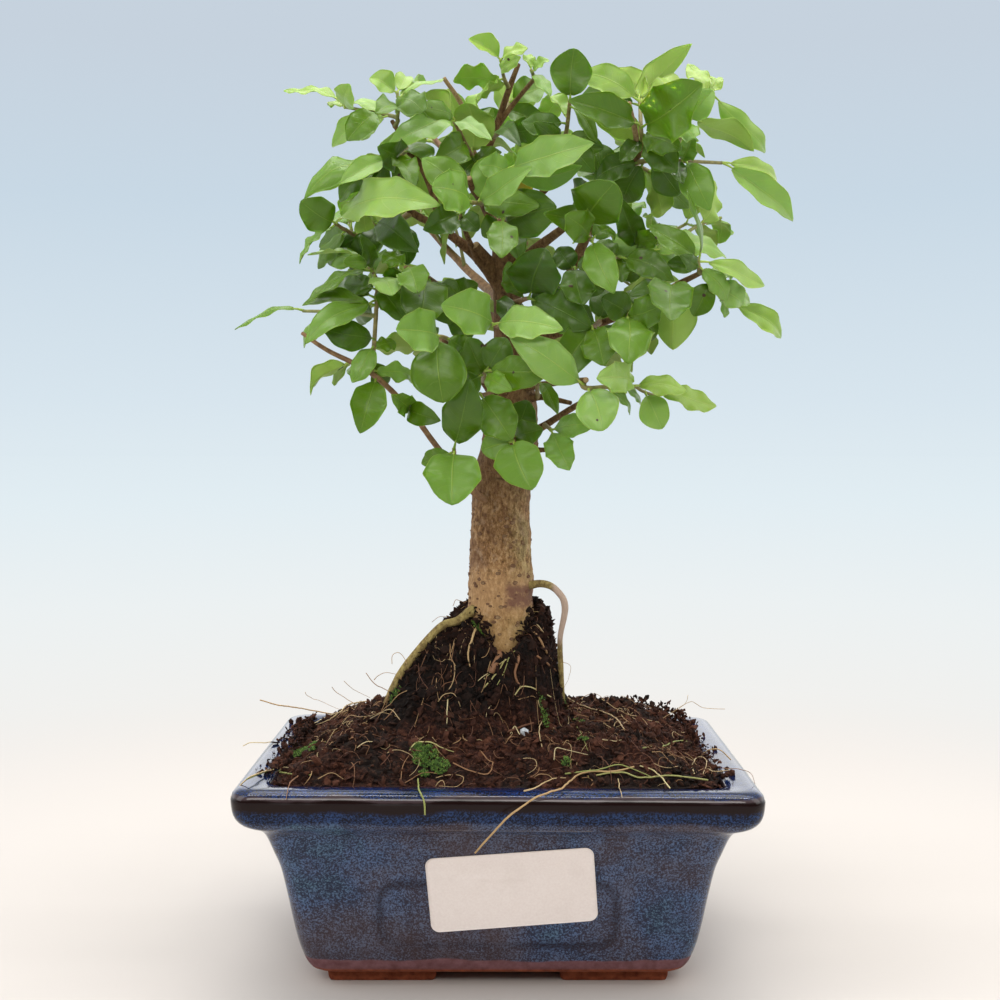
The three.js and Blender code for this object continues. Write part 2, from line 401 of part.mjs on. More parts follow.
function disc(radius, z, sides) {
  return Array.from({ length: sides }, (_, i) => {
    const angle = (2 * Math.PI * i) / sides;
    return vec(radius * Math.cos(angle), radius * Math.sin(angle), z);
  });
}

// Each foot is a low clay angle under a corner, a touch narrower at the table
function cornerFoot(sx, sy) {
  const { inner, outer, side, back, leg, height } = FOOT;
  const outline = [
    [inner, side], [outer, side], [outer, back], [outer - leg, back], [outer - leg, side - leg],
    [inner, side - leg],
  ];
  const middle = [(inner + outer) / 2, (side + back) / 2];
  const rings = [[0, 0.96], [0.9, 1], [height + 1.6, 1]].map(([z, scale]) =>
    outline.map(([x, y]) =>
      vec(sx * (middle[0] + (x - middle[0]) * scale), sy * (middle[1] + (y - middle[1]) * scale), z)));
  const vertices = rings.flat();
  const count = outline.length;
  const triangles = [];
  for (let r = 0; r < 2; r += 1) {
    for (let i = 0; i < count; i += 1) {
      const a = r * count + i;
      const b = r * count + ((i + 1) % count);
      triangles.push(a, b, b + count, a, b + count, a + count);
    }
  }
  [[0, 5, 4], [0, 4, 1], [1, 4, 3], [1, 3, 2]].forEach(([a, b, c]) => {
    triangles.push(a, b, c);
    triangles.push(2 * count + a, 2 * count + c, 2 * count + b);
  });
  return solidOf(vertices, triangles);
}

function makePot() {
  const wall = loft([...POT_PROFILE, ...CAVITY_PROFILE].map((step) => oblongRing(step)));
  const drain = loft([disc(DRAIN_RADIUS, 3, 16), disc(DRAIN_RADIUS, 14, 16)]);
  const feet = [[1, 1], [1, -1], [-1, 1], [-1, -1]].map(([sx, sy]) => cornerFoot(sx, sy));
  return union([wall, ...feet]).subtract(drain);
}

const smooth = (t) => {
  const s = Math.min(1, Math.max(0, t));
  return s * s * (3 - 2 * s);
};

// Height of the soil: level with the rim at the wall, gently raised inside, and steep around the root ball, which
// leans out to the left and is hollowed in front of the trunk
function soilHeight(x, y) {
  const dx = x - 2.5;
  const distance = Math.hypot(dx, y);
  const leftward = distance > 0 ? Math.max(0, -dx / distance) : 0;
  const frontward = distance > 0 ? Math.max(0, -y / distance) : 0;
  const foot = 21.5 + 18.5 * leftward * leftward;
  const crown = 12.5;
  const climb = 5 * (1 - frontward) - 9 * frontward ** 3 * smooth((24 - distance) / 10);
  const edge = Math.max(Math.abs(x) / 65.5, Math.abs(y) / 48.5);
  const plain = 62.6 + 9.5 * smooth((1 - edge) / 0.42);
  const lumps = 0.7 * Math.sin(x * 0.31 + 1.3) * Math.cos(y * 0.37 + 0.4);
  const mound = (33 + climb) * smooth((foot - distance) / (foot - crown));
  return plain + mound + lumps * smooth((1 - edge) / 0.2);
}

function makeSoil(fatWood) {
  const under = [...CAVITY_PROFILE].reverse().map((step, i) =>
    oblongRing({ ...step, z: step.z + (i === 0 ? SEAM : 0) }, -SEAM));
  const edge = oblongRing({ half: 65.4, z: 58.5, corner: 6 }, -SEAM);
  const tops = SOIL_STEPS.map(({ scale, round }) => edge.map((p, i) => {
    const angle = 2 * Math.PI * ((i + 0.5) / edge.length - 0.25);
    const oblong = vec(SOIL_CENTRE.x * (1 - scale) + p.x * scale, p.y * scale, 0);
    const circle = vec(SOIL_CENTRE.x + round.radius * Math.cos(angle), round.radius * Math.sin(angle), 0);
    const { x, y } = oblong.lerp(circle, round.share);
    return vec(x, y, soilHeight(x, y));
  }));
  const peak = vec(SOIL_CENTRE.x, 0, soilHeight(SOIL_CENTRE.x, 0));
  return loft([...under, edge, ...tops], peak).subtract(fatWood);
}

// The rings of a tapering limb along a path, each square to the path
function limbRings(points, radii, sides, grow = 0) {
  let lean = vec(0.31, 0.87, 0.38);
  return points.map((point, i) => {
    const before = points[Math.max(0, i - 1)];
    const after = points[Math.min(points.length - 1, i + 1)];
    const along = after.clone().sub(before).normalize();
    lean = lean.clone().addScaledVector(along, -lean.dot(along)).normalize();
    const across = vec(0, 0, 0).crossVectors(along, lean);
    return Array.from({ length: sides }, (_, k) => {
      const angle = (2 * Math.PI * k) / sides;
      return point.clone()
        .addScaledVector(lean, (radii[i] + grow) * Math.cos(angle))
        .addScaledVector(across, (radii[i] + grow) * Math.sin(angle));
    });
  });
}

function limb(points, radii, sides, grow = 0) {
  const rings = limbRings(points, radii, sides, grow);
  if (grow > 0) {
    const last = points.length - 1;
    const along = points[last].clone().sub(points[last - 1]).setLength(grow);
    rings[last].forEach((p) => p.add(along));
  }
  return loft(rings);
}

const pathOf = (steps) => steps.map(([x, y, depth]) => place(x, y, depth));
const radiiOf = (steps) => steps.map((step) => step[3]);

function makeWood(grow = 0) {
  return union(Object.entries(WOOD_PATHS).map(([name, steps]) =>
    limb(pathOf(steps), radiiOf(steps), name === "trunk" ? TRUNK_SIDES : BOUGH_SIDES, grow)));
}

// Half the width of a blade at a share of its length
function bladeShape(u) {
  const v = Math.max(0, (u - BLADE.stalkShare) / (1 - BLADE.stalkShare));
  return Math.pow(Math.max(0, Math.sin(Math.PI * Math.pow(v, 0.85))), 0.72);
}

// The blade's own directions: chord, face and side, from the way that its face looks and how it is rolled
function bladeFrame(leaf) {
  const span = leaf.tip.clone().sub(leaf.base);
  const length = span.length();
  const chord = span.divideScalar(length);
  const first = leaf.look.clone().addScaledVector(chord, -leaf.look.dot(chord)).normalize();
  const second = vec(0, 0, 0).crossVectors(chord, first);
  if (second.z < -0.2 || (Math.abs(second.z) <= 0.2 && second.x < 0)) second.negate();
  const face = first.multiplyScalar(Math.cos(leaf.roll)).addScaledVector(second, Math.sin(leaf.roll));
  const side = vec(0, 0, 0).crossVectors(face, chord);
  return { length, chord, face, side };
}

// The four corners of the blade at each of its stations
function bladeRings(leaf, grow = 0) {
  const { length, chord, face, side } = bladeFrame(leaf);
  return leaf.stations.map((u) => {
    const turn = leaf.twist * (u - 0.5);
    const across = side.clone().multiplyScalar(Math.cos(turn)).addScaledVector(face, Math.sin(turn));
    const out = face.clone().multiplyScalar(Math.cos(turn)).addScaledVector(side, -Math.sin(turn));
    const halfWidth = (leaf.width / 2) * bladeShape(u);
    const centre = leaf.base.clone().addScaledVector(chord, u * length)
      .addScaledVector(face, leaf.arch * length * 4 * u * (1 - u));
    return [[-1, 1], [1, 1], [1, -1], [-1, -1]].map(([s, t]) =>
      centre.clone().addScaledVector(across, s * (halfWidth + grow))
        .addScaledVector(out, t * (BLADE.thickness / 2 + grow)));
  });
}

// A blade with its stalk end on edge inside the twig, or the open blade alone
function bladeSolid(leaf, grow, withStalk = true) {
  const { chord, face } = bladeFrame(leaf);
  const tip = leaf.tip.clone().addScaledVector(chord, grow);
  const edge = [1, -1].map((t) => leaf.base.clone().addScaledVector(face, t * (BLADE.thickness / 2 + grow)));
  return loft(bladeRings(leaf, grow), tip, withStalk ? edge : null);
}

function turned(leaf, bend, swing) {
  const { length, chord } = bladeFrame(leaf);
  const first = leaf.look.clone().addScaledVector(chord, -leaf.look.dot(chord)).normalize();
  const second = vec(0, 0, 0).crossVectors(chord, first);
  const way = chord.clone().multiplyScalar(Math.cos(bend) * Math.cos(swing))
    .addScaledVector(first, Math.sin(bend))
    .addScaledVector(second, Math.cos(bend) * Math.sin(swing));
  return { ...leaf, tip: leaf.base.clone().addScaledVector(way.normalize(), length) };
}

// The point of a spray's twigs that is seen nearest to a picture point
function onStems(stems, x, y) {
  let best = { gap: Infinity };
  stems.forEach((steps, stem) => {
    let run = 0;
    for (let i = 0; i + 1 < steps.length; i += 1) {
      const [ax, ay, ad] = steps[i];
      const [bx, by, bd] = steps[i + 1];
      const square = (bx - ax) ** 2 + (by - ay) ** 2;
      const t = Math.min(1, Math.max(0, ((x - ax) * (bx - ax) + (y - ay) * (by - ay)) / square));
      const gap = Math.hypot(ax + t * (bx - ax) - x, ay + t * (by - ay) - y);
      const [start, end] = pathOf([steps[i], steps[i + 1]]);
      if (gap < best.gap) best = { gap, stem, at: run + t * start.distanceTo(end), point: start.clone().lerp(end, t) };
      run += start.distanceTo(end);
    }
  });
  return best;
}

function drawnLeaf(stems, record, index) {
  const [baseX, baseY, tipX, tipY, depth, width, roll] = record;
  const { stem, at, point: base } = onStems(stems, baseX, baseY);
  const look = vec(EYE.x, -EYE.distance, EYE.height).sub(base).normalize();
  return {
    stem,
    at,
    base,
    tip: place(tipX, tipY, depth),
    width,
    roll: THREE.MathUtils.degToRad(roll),
    look,
    arch: BLADE.arch,
    twist: (BLADE.twist * (((index * 37) % 11) - 5)) / 5,
    stations: width < BROAD_FROM ? NARROW_STATIONS : BROAD_STATIONS,
  };
}

const boxesMeet = (a, b) => [0, 1, 2].every((k) => a.min[k] <= b.max[k] && b.min[k] <= a.max[k]);
const meets = (solid, box, other) => boxesMeet(box, other.box) && !solid.intersect(other.solid).isEmpty();
const boxed = (solid, owner) => ({ solid, owner, box: solid.boundingBox() });

// Leaves already set, twigs, wood, soil and pot: a new leaf keeps clear of them all
const settled = [];

function setLeaf(leaf, owner, own) {
  for (const swing of SWINGS) {
    for (const bend of BENDS) {
      const tried = turned(leaf, bend, swing);
      const fat = bladeSolid(tried, CLEAR_OF_OTHERS);
      const fatBlade = bladeSolid(tried, CLEAR_OF_OTHERS, false);
      const blade = bladeSolid(tried, CLEAR_OF_OWN, false);
      const boxes = [fat, fatBlade, blade].map((solid) => solid.boundingBox());
      const blocked = settled.some((other) => {
        if (other.owner === owner) return false;
        return other.owner === "wood" ? meets(fatBlade, boxes[1], other) : meets(fat, boxes[0], other);
      }) || own.some((other) => meets(blade, boxes[2], other));
      if (!blocked) {
        settled.push(boxed(bladeSolid(tried, 0), owner));
        own.push(boxed(bladeSolid(tried, 0, false), owner));
        return tried;
      }
    }
  }
  return null;
}

function insideOutline(point) {
  const [x, y] = seen(point);
  const share = Math.abs((x - CROWN_OUTLINE.x) / CROWN_OUTLINE.wide) ** CROWN_OUTLINE.power
    + Math.abs((y - CROWN_OUTLINE.y) / CROWN_OUTLINE.tall) ** CROWN_OUTLINE.power;
  return share < 1 && SKY_GAPS.every(([gapX, gapY, radius]) => Math.hypot(x - gapX, y - gapY) > radius);
}

function pointAlong(points, share) {
  const at = share * (points.length - 1);
  const i = Math.min(points.length - 2, Math.floor(at));
  return points[i].clone().lerp(points[i + 1], at - i);
}

const lengthsOf = (points) => {
  const lengths = [0];
  for (let i = 1; i < points.length; i += 1) lengths.push(lengths[i - 1] + points[i].distanceTo(points[i - 1]));
  return lengths;
};

function alongStem({ points }, share) {
  const lengths = lengthsOf(points);
  const at = share * lengths[lengths.length - 1];
  return { at, point: stationOn(points, null, lengths, at).point };
}

// Middle, thickness and direction of a twig at a distance from its root
function stationOn(points, radii, lengths, at) {
  let i = lengths.findIndex((length) => length > at) - 1;
  if (i < 0) i = points.length - 2;
  const t = (at - lengths[i]) / (lengths[i + 1] - lengths[i]);
  return {
    point: points[i].clone().lerp(points[i + 1], t),
    radius: radii === null ? 0 : radii[i] + t * (radii[i + 1] - radii[i]),
    along: points[i + 1].clone().sub(points[i]).normalize(),
  };
}

// Side shoots of one back bough: short twigs fanning outwards, each with pairs of leaves set crosswise
function shootsOf(steps, bough, owner) {
  const points = pathOf(steps);
  const shoots = [];
  for (let k = 0; k < SHOOT.count; k += 1) {
    const start = pointAlong(points, 0.5 + (0.5 * k) / (SHOOT.count - 1));
    const outward = start.clone().sub(vec(CROWN.x, CROWN.y, CROWN.z)).normalize();
    for (let tries = 0; tries < SHOOT.tries; tries += 1) {
      const random = repeatable(SHOOT.seed + 1000 * bough + 100 * k + tries);
      const scatter = vec(random() - 0.5, random() - 0.5, random() - 0.5).multiplyScalar(2.1);
      const way = outward.clone().add(scatter).add(vec(0, 0.25, 0.35)).normalize();
      const reach = SHOOT.shortest + (SHOOT.longest - SHOOT.shortest) * random();
      const end = start.clone().addScaledVector(way, reach);
      const bend = start.clone().lerp(end, 0.5).add(vec(0, 0, 1.2));
      const solid = limb([start, bend, end], SHOOT.radii, STEM_SIDES);
      const fat = limb([start, bend, end], SHOOT.radii, STEM_SIDES, CLEAR_OF_OTHERS);
      const fatBox = fat.boundingBox();
      const free = insideOutline(end) && !settled.some((other) => other.owner !== owner && meets(fat, fatBox, other));
      if (free) {
        settled.push(boxed(solid, owner));
        shoots.push({ way, random, stem: { points: [start, bend, end], radii: SHOOT.radii } });
        break;
      }
    }
  }
  return shoots;
}

function shootLeaves(shoot, owner, own) {
  const { random } = shoot;
  const leaves = [];
  const flat = vec(0, 0, 0).crossVectors(shoot.way, vec(0, 0, 1)).normalize();
  const upright = vec(0, 0, 0).crossVectors(flat, shoot.way).normalize();
  const phase = random() * Math.PI;
  SHOOT_NODES.forEach((share, node) => {
    const angle = phase + (node % 2) * (Math.PI / 2);
    [1, -1].forEach((sign) => {
      const spread = flat.clone().multiplyScalar(sign * Math.cos(angle))
        .addScaledVector(upright, sign * Math.sin(angle));
      const way = shoot.way.clone().multiplyScalar(SHOOT_LEAF.reach + (random() - 0.5) * 0.3)
        .addScaledVector(spread, SHOOT_LEAF.spread)
        .add(vec(0, 0, -0.12 + 0.2 * (random() - 0.5)))
        .normalize();
      const length = SHOOT_LEAF.length - SHOOT_LEAF.shrink * share + 3 * (random() - 0.5);
      const { point: base, at } = alongStem(shoot.stem, share);
      const outward = base.clone().sub(vec(CROWN.x, CROWN.y, CROWN.z)).normalize();
      const leaf = {
        stem: 0,
        at,
        base,
        tip: base.clone().addScaledVector(way, length),
        width: length * (SHOOT_LEAF.share + 0.12 * (random() - 0.5)),
        roll: 0,
        look: vec(0, 0, 0.75).addScaledVector(outward, 0.5).normalize(),
        arch: BLADE.arch,
        twist: BLADE.twist * (2 * random() - 1),
        stations: NARROW_STATIONS,
      };
      if (!insideOutline(leaf.tip)) return;
      const set = setLeaf(leaf, owner, own);
      if (set !== null) leaves.push(set);
    });
  });
  return leaves;
}

// The sides of a twig: for each stretch and each of its four sides, the corners and the roots cut into it so far
function sidesOf(rings) {
  const sides = [];
  for (let r = 0; r + 1 < rings.length; r += 1) {
    for (let k = 0; k < STEM_SIDES; k += 1) {
      const next = (k + 1) % STEM_SIDES;
      const corners = [r * STEM_SIDES + k, r * STEM_SIDES + next, (r + 1) * STEM_SIDES + next, (r + 1) * STEM_SIDES + k];
      const [a, b, c, d] = [rings[r][k], rings[r][next], rings[r + 1][next], rings[r + 1][k]];
      const wide = a.distanceTo(b);
      const long = a.distanceTo(d);
      const out = vec(0, 0, 0).crossVectors(b.clone().sub(a), d.clone().sub(a)).normalize();
      const at = (u, v) => a.clone().lerp(b, u).lerp(d.clone().lerp(c, u), v);
      sides.push({ stretch: r, corners, wide, long, out, at, roots: [] });
    }
  }
  return sides;
}

// A leaf's root on a side of the twig: a small oblong round the place where the stalk leaves, or null if it is taken
function rootOn(side, share) {
  const half = ROOT.half / side.long;
  if (half > 0.4) return null;
  const middle = Math.min(0.96 - half, Math.max(0.04 + half, share));
  if (side.roots.some((root) => Math.abs(root.middle - middle) < 2 * half + ROOT.apart / side.long)) return null;
  const [near, far] = [ROOT.narrow, 1 - ROOT.narrow];
  const places = [[near, middle - half], [far, middle - half], [far, middle + half], [near, middle + half]];
  return { middle, places, points: places.map(([u, v]) => side.at(u, v)) };
}

// A twig and its leaves grown as one skin, each leaf drawn out of an opening in the twig's side or out of its end. A
// leaf that would run back through the twig or through a neighbour is returned on its own, to be fused on
function grownStem({ points, radii }, leaves) {
  const rings = limbRings(points, radii, STEM_SIDES);
  const lengths = lengthsOf(points);
  const stem = loft(rings);
  const vertices = rings.flat();
  const triangles = [0, 2, 1, 0, 3, 2];
  const sides = sidesOf(rings);
  const end = rings[rings.length - 1];
  const endCorners = end.map((_, k) => (rings.length - 1) * STEM_SIDES + k);
  const endWay = points[points.length - 1].clone().sub(points[points.length - 2]).normalize();
  let endTaken = false;
  const grown = [];
  const loose = [];
  leaves.forEach((leaf) => {
    const way = leaf.tip.clone().sub(leaf.base).normalize();
    const stretch = Math.max(0, Math.min(rings.length - 2, lengths.findIndex((length) => length > leaf.at) - 1));
    const run = leaf.at >= lengths[lengths.length - 1] ? rings.length - 2 : stretch;
    const share = (leaf.at - lengths[run]) / (lengths[run + 1] - lengths[run]);
    const roots = sides.filter((side) => side.stretch === run && side.out.dot(way) > ROOT.match)
      .sort((a, b) => b.out.dot(way) - a.out.dot(way))
      .flatMap((side) => ROOT.shifts.map((shift) => ({ side, root: rootOn(side, share + shift / side.long) })))
      .filter(({ root }) => root !== null);
    const atEnd = lengths[lengths.length - 1] - leaf.at < 1.5 * ROOT.half + 0.6;
    if (!endTaken && atEnd && endWay.dot(way) > 0.5) roots.unshift({ side: null, root: { points: end } });
    const drawn = roots.some(({ side, root }) => {
      const blade = bladeRings(leaf);
      const { order, shift } = alignedRing(root.points, blade[0], way);
      const skin = [root.points, ...blade.map((ring) => order.map((k) => ring[k]))];
      const solid = loft(skin, leaf.tip);
      if (solid.intersect(stem).volume() > ROOT.touch || grown.some((other) => !solid.intersect(other).isEmpty())) {
        return false;
      }
      let corners = endCorners;
      if (side === null) {
        endTaken = true;
      } else {
        corners = root.points.map((p) => vertices.push(p) - 1);
        side.roots.push({ ...root, corners });
      }
      grown.push(solid);
      drawOut(vertices, triangles, corners, skin.slice(1), leaf.tip, shift);
      return true;
    });
    if (!drawn) loose.push(bladeSolid(leaf, 0));
  });
  if (!endTaken) triangles.push(endCorners[0], endCorners[1], endCorners[2], endCorners[0], endCorners[2], endCorners[3]);
  sides.forEach((side) => closeSide(side, triangles));
  return [solidOf(vertices, triangles), ...loose];
}

// Fills a side of the twig around the roots cut into it
function closeSide({ corners, wide, long, roots }, triangles) {
  const flat = ([u, v]) => new THREE.Vector2(u * wide, v * long);
  const outline = [[0, 0], [1, 0], [1, 1], [0, 1]].map(flat);
  const holes = roots.map(({ places }) => places.map(flat));
  const points = [outline, ...holes].flat();
  const indices = [corners, ...roots.map((root) => root.corners)].flat();
  THREE.ShapeUtils.triangulateShape(outline, holes).forEach((triple) => {
    const [a, b, c] = triple.map((i) => points[i]);
    const turn = (b.x - a.x) * (c.y - a.y) - (b.y - a.y) * (c.x - a.x);
    triangles.push(...(turn > 0 ? triple : [...triple].reverse()).map((i) => indices[i]));
  });
}

// The order of a blade's corners that goes round the same way as the root's and starts nearest to it
function alignedRing(root, ring, way) {
  const turnOf = (points) => {
    const centre = middleOf(points);
    const sum = vec(0, 0, 0);
    points.forEach((p, i) => {
      sum.add(vec(0, 0, 0).crossVectors(p.clone().sub(centre), points[(i + 1) % 4].clone().sub(centre)));
    });
    return sum.dot(way);
  };
  const order = turnOf(ring) > 0 ? [0, 1, 2, 3] : [3, 2, 1, 0];
  const centreA = middleOf(root);
  const centreB = middleOf(ring);
  const scores = [0, 1, 2, 3].map((shift) => root.reduce((sum, p, i) =>
    sum + p.clone().sub(centreA).normalize().dot(ring[order[(i + shift) % 4]].clone().sub(centreB).normalize()), 0));
  const shift = scores.indexOf(Math.max(...scores));
  return { order: [0, 1, 2, 3].map((i) => order[(i + shift) % 4]), shift };
}

// Skin from a side of the twig over the blade's rings to its tip, both faces split alike
function drawOut(vertices, triangles, corners, rings, tip, shift) {
  let from = corners;
  rings.forEach((ring) => {
    const to = ring.map((p) => vertices.push(p) - 1);
    for (let i = 0; i < 4; i += 1) {
      const j = (i + 1) % 4;
      if ((i + shift) % 4 < 2) triangles.push(from[i], from[j], to[j], from[i], to[j], to[i]);
      else triangles.push(from[i], from[j], to[i], from[j], to[j], to[i]);
    }
    from = to;
  });
  const point = vertices.push(tip) - 1;
  for (let i = 0; i < 4; i += 1) triangles.push(from[i], from[(i + 1) % 4], point);
}

// One body: the largest, in case a cut left a loose scrap
function wholeOf(solid) {
  return solid.decompose().reduce((best, piece) => (piece.volume() > best.volume() ? piece : best));
}

function makeSticker() {
  const { left, bottom, width, height, tilt, thickness } = STICKER;
  const wall = (z) => {
    const i = POT_PROFILE.findIndex((step) => step.z > z);
    const [low, high] = [POT_PROFILE[i - 1], POT_PROFILE[i]];
    return low.half + ((high.half - low.half) * (z - low.z)) / (high.z - low.z) - DEPTH_LESS;
  };
  const rings = [0, 0.25, 0.5, 0.75, 1].map((v) => {
    const corner = (u, out) => {
      const x = left + u * width * Math.cos(tilt) - v * height * Math.sin(tilt);
      const z = bottom + v * height * Math.cos(tilt) + u * width * Math.sin(tilt);
      return vec(x, -(wall(z) + SEAM + 0.05 + out), z);
    };
    return [corner(0, 0), corner(1, 0), corner(1, thickness), corner(0, thickness)];
  });
  return loft(rings);
}

const fatWood = makeWood(SEAM);
const wood = wholeOf(makeWood());
const pot = makePot();
const soil = wholeOf(makeSoil(fatWood));
const sticker = makeSticker();
[[wood, "wood"], [pot, "pot"], [soil, "soil"]].forEach(([solid, owner]) => settled.push(boxed(solid, owner)));

const sprays = {};
const stemOf = (steps) => ({ points: pathOf(steps), radii: radiiOf(steps) });
Object.entries({ ...SPRAYS, ...BOUGHS }).forEach(([name, entry]) => {
  const stems = (entry.stems ?? [entry]).map(stemOf);
  stems.forEach(({ points, radii }) => settled.push(boxed(limb(points, radii, STEM_SIDES), name)));
  sprays[name] = { stems, solids: [] };
});
Object.entries(SPRAYS).forEach(([name, { stems, leaves }]) => {
  const own = settled.filter((other) => other.owner === name);
  const set = leaves.map((record, index) => setLeaf(drawnLeaf(stems, record, index), name, own))
    .filter((leaf) => leaf !== null);
  sprays[name].stems.forEach((stem, index) => {
    sprays[name].solids.push(...grownStem(stem, set.filter((leaf) => leaf.stem === index)));
  });
});
Object.entries(BOUGHS).forEach(([name, steps], bough) => {
  sprays[name].solids.push(...grownStem(sprays[name].stems[0], []));
  const shoots = shootsOf(steps, bough, name);
  const own = settled.filter((other) => other.owner === name);
  shoots.forEach((shoot) => {
    sprays[name].solids.push(grownStem(shoot.stem, shootLeaves(shoot, name, own))[0]);
  });
});

const FINISHES = {
  pot: { color: 0x2b2a3a, roughness: 0.15, metalness: 0 },
  soil: { color: 0x2e1c14, roughness: 0.95, metalness: 0 },
  trunk: { color: 0x7a6246, roughness: 0.85, metalness: 0 },
  sticker: { color: 0xe9e7e2, roughness: 0.6, metalness: 0 },
  spray: { color: 0x5c8a28, roughness: 0.45, metalness: 0 },
};

function meshOf(name, solid, finish) {
  const { vertProperties, triVerts } = solid.getMesh();
  const geometry = new THREE.BufferGeometry();
  geometry.setAttribute("position", new THREE.BufferAttribute(new Float32Array(vertProperties), 3));
  geometry.setIndex(new THREE.BufferAttribute(new Uint32Array(triVerts), 1));
  geometry.computeVertexNormals();
  const mesh = new THREE.Mesh(geometry, new THREE.MeshStandardMaterial(FINISHES[finish]));
  mesh.name = name;
  return mesh;
}

const group = new THREE.Group();
group.name = "chinese_privet_bonsai";
group.add(meshOf("pot", pot, "pot"));
group.add(meshOf("soil", soil, "soil"));
group.add(meshOf("trunk", wood, "trunk"));
group.add(meshOf("sticker", sticker, "sticker"));
Object.entries(sprays).forEach(([name, { solids }]) => {
  group.add(meshOf(`spray_${name}`, wholeOf(union(solids).subtract(fatWood)), "spray"));
});

// The middle of the whole stands on the origin
const bounds = new THREE.Box3().setFromObject(group);
const centre = bounds.getCenter(vec(0, 0, 0));
group.children.forEach((mesh) => mesh.geometry.translate(-centre.x, -centre.y, 0));

export default group;
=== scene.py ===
import math
import random

import bpy
import numpy as np
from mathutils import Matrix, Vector, noise
from mathutils.bvhtree import BVHTree


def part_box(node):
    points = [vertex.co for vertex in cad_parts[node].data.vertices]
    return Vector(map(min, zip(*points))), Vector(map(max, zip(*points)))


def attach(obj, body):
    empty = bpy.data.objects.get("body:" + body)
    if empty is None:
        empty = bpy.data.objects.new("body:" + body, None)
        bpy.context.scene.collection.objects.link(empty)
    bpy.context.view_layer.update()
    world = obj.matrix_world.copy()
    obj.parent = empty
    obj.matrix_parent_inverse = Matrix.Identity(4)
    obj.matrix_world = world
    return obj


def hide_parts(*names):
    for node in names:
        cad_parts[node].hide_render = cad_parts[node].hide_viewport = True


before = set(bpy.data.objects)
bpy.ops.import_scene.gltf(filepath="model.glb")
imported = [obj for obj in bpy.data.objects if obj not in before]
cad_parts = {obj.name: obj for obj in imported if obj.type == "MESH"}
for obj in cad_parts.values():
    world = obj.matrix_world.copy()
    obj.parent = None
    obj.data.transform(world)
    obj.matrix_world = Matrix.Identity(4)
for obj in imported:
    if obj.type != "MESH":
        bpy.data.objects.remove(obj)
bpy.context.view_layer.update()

# Where the bonsai is looked at from: an eye level with the crown's underside, half a metre in front of the
# trunk and tipped slightly down. Places on the tree are given as across, down and a depth in millimetres
# towards the viewer, and this section turns them into places in space.
POT_LOW, POT_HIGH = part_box("pot")
POT_X = (POT_LOW.x + POT_HIGH.x) * 500
POT_Y = (POT_LOW.y + POT_HIGH.y) * 500
EYE_X = POT_X + 0.6
EYE_AWAY = 454
EYE_Y = POT_Y - EYE_AWAY
EYE_HEIGHT = 162
EYE_PITCH = 0.0379
PICTURE_SIDE = 1000
PICTURE_FOCAL = 1400
SENSOR_MM = 36


def place(across, down, depth):
    x = (across - PICTURE_SIDE / 2) / PICTURE_FOCAL
    up = (PICTURE_SIDE / 2 - down) / PICTURE_FOCAL
    reach = (EYE_AWAY - depth) / (up * math.sin(EYE_PITCH) + math.cos(EYE_PITCH))
    rise = reach * (up * math.cos(EYE_PITCH) - math.sin(EYE_PITCH))
    return np.array([EYE_X + x * reach, POT_Y - depth, EYE_HEIGHT + rise])


def picture_place(point):
    along = point[1] - EYE_Y
    rise = point[2] - EYE_HEIGHT
    forward = along * math.cos(EYE_PITCH) - rise * math.sin(EYE_PITCH)
    upward = along * math.sin(EYE_PITCH) + rise * math.cos(EYE_PITCH)
    scale = PICTURE_FOCAL / forward
    return PICTURE_SIDE / 2 + (point[0] - EYE_X) * scale, PICTURE_SIDE / 2 - upward * scale


eye_lens = bpy.data.cameras.new("eye")
eye_lens.sensor_width = SENSOR_MM
eye_lens.lens = SENSOR_MM * PICTURE_FOCAL / PICTURE_SIDE
eye_lens.clip_start = 0.01
eye_lens.clip_end = 60
eye = bpy.data.objects.new("eye", eye_lens)
eye.location = (EYE_X / 1000, EYE_Y / 1000, EYE_HEIGHT / 1000)
eye.rotation_euler = (math.pi / 2 - EYE_PITCH, 0, 0)
bpy.context.scene.collection.objects.link(eye)
bpy.context.scene.camera = eye

# The studio: one big softbox overhead and a little behind, which shines through the young leaves, a softbox
# on either side, a strip that draws the long light on the glazed rim, and a wide one in front.
LAMPS = {
    "overhead": {"at": (0.1, 0.3, 1.15), "aim_height": 0.15, "size": (1.2, 0.8), "watts": 6.8,
                 "tint": (1, 0.985, 0.95)},
    "left_box": {"at": (-1.0, -0.3, 0.75), "aim_height": 0.12, "size": (0.6, 1.0), "watts": 3.5,
                 "tint": (0.97, 0.98, 1)},
    "right_box": {"at": (1.0, -0.2, 0.7), "aim_height": 0.12, "size": (0.6, 1.0), "watts": 3.4,
                  "tint": (1, 0.98, 0.95)},
    "strip": {"at": (0, -0.16, 1.2), "aim_height": 0.06, "size": (1.1, 0.05), "watts": 5.5,
              "tint": (1, 0.98, 0.96)},
    "front_box": {"at": (-0.15, -1.1, 0.8), "aim_height": 0.15, "size": (1.1, 0.3), "watts": 6.0,
                  "tint": (1, 0.97, 0.92)},
}
for lamp_name, lamp in LAMPS.items():
    light = bpy.data.lights.new(lamp_name, "AREA")
    light.shape = "RECTANGLE"
    light.size, light.size_y = lamp["size"]
    light.energy = lamp["watts"]
    light.color = lamp["tint"]
    box = bpy.data.objects.new(lamp_name, light)
    box.location = lamp["at"]
    away = Vector(lamp["at"]) - Vector((0, 0, lamp["aim_height"]))
    box.rotation_euler = away.to_track_quat("Z", "Y").to_euler()
    bpy.context.scene.collection.objects.link(box)


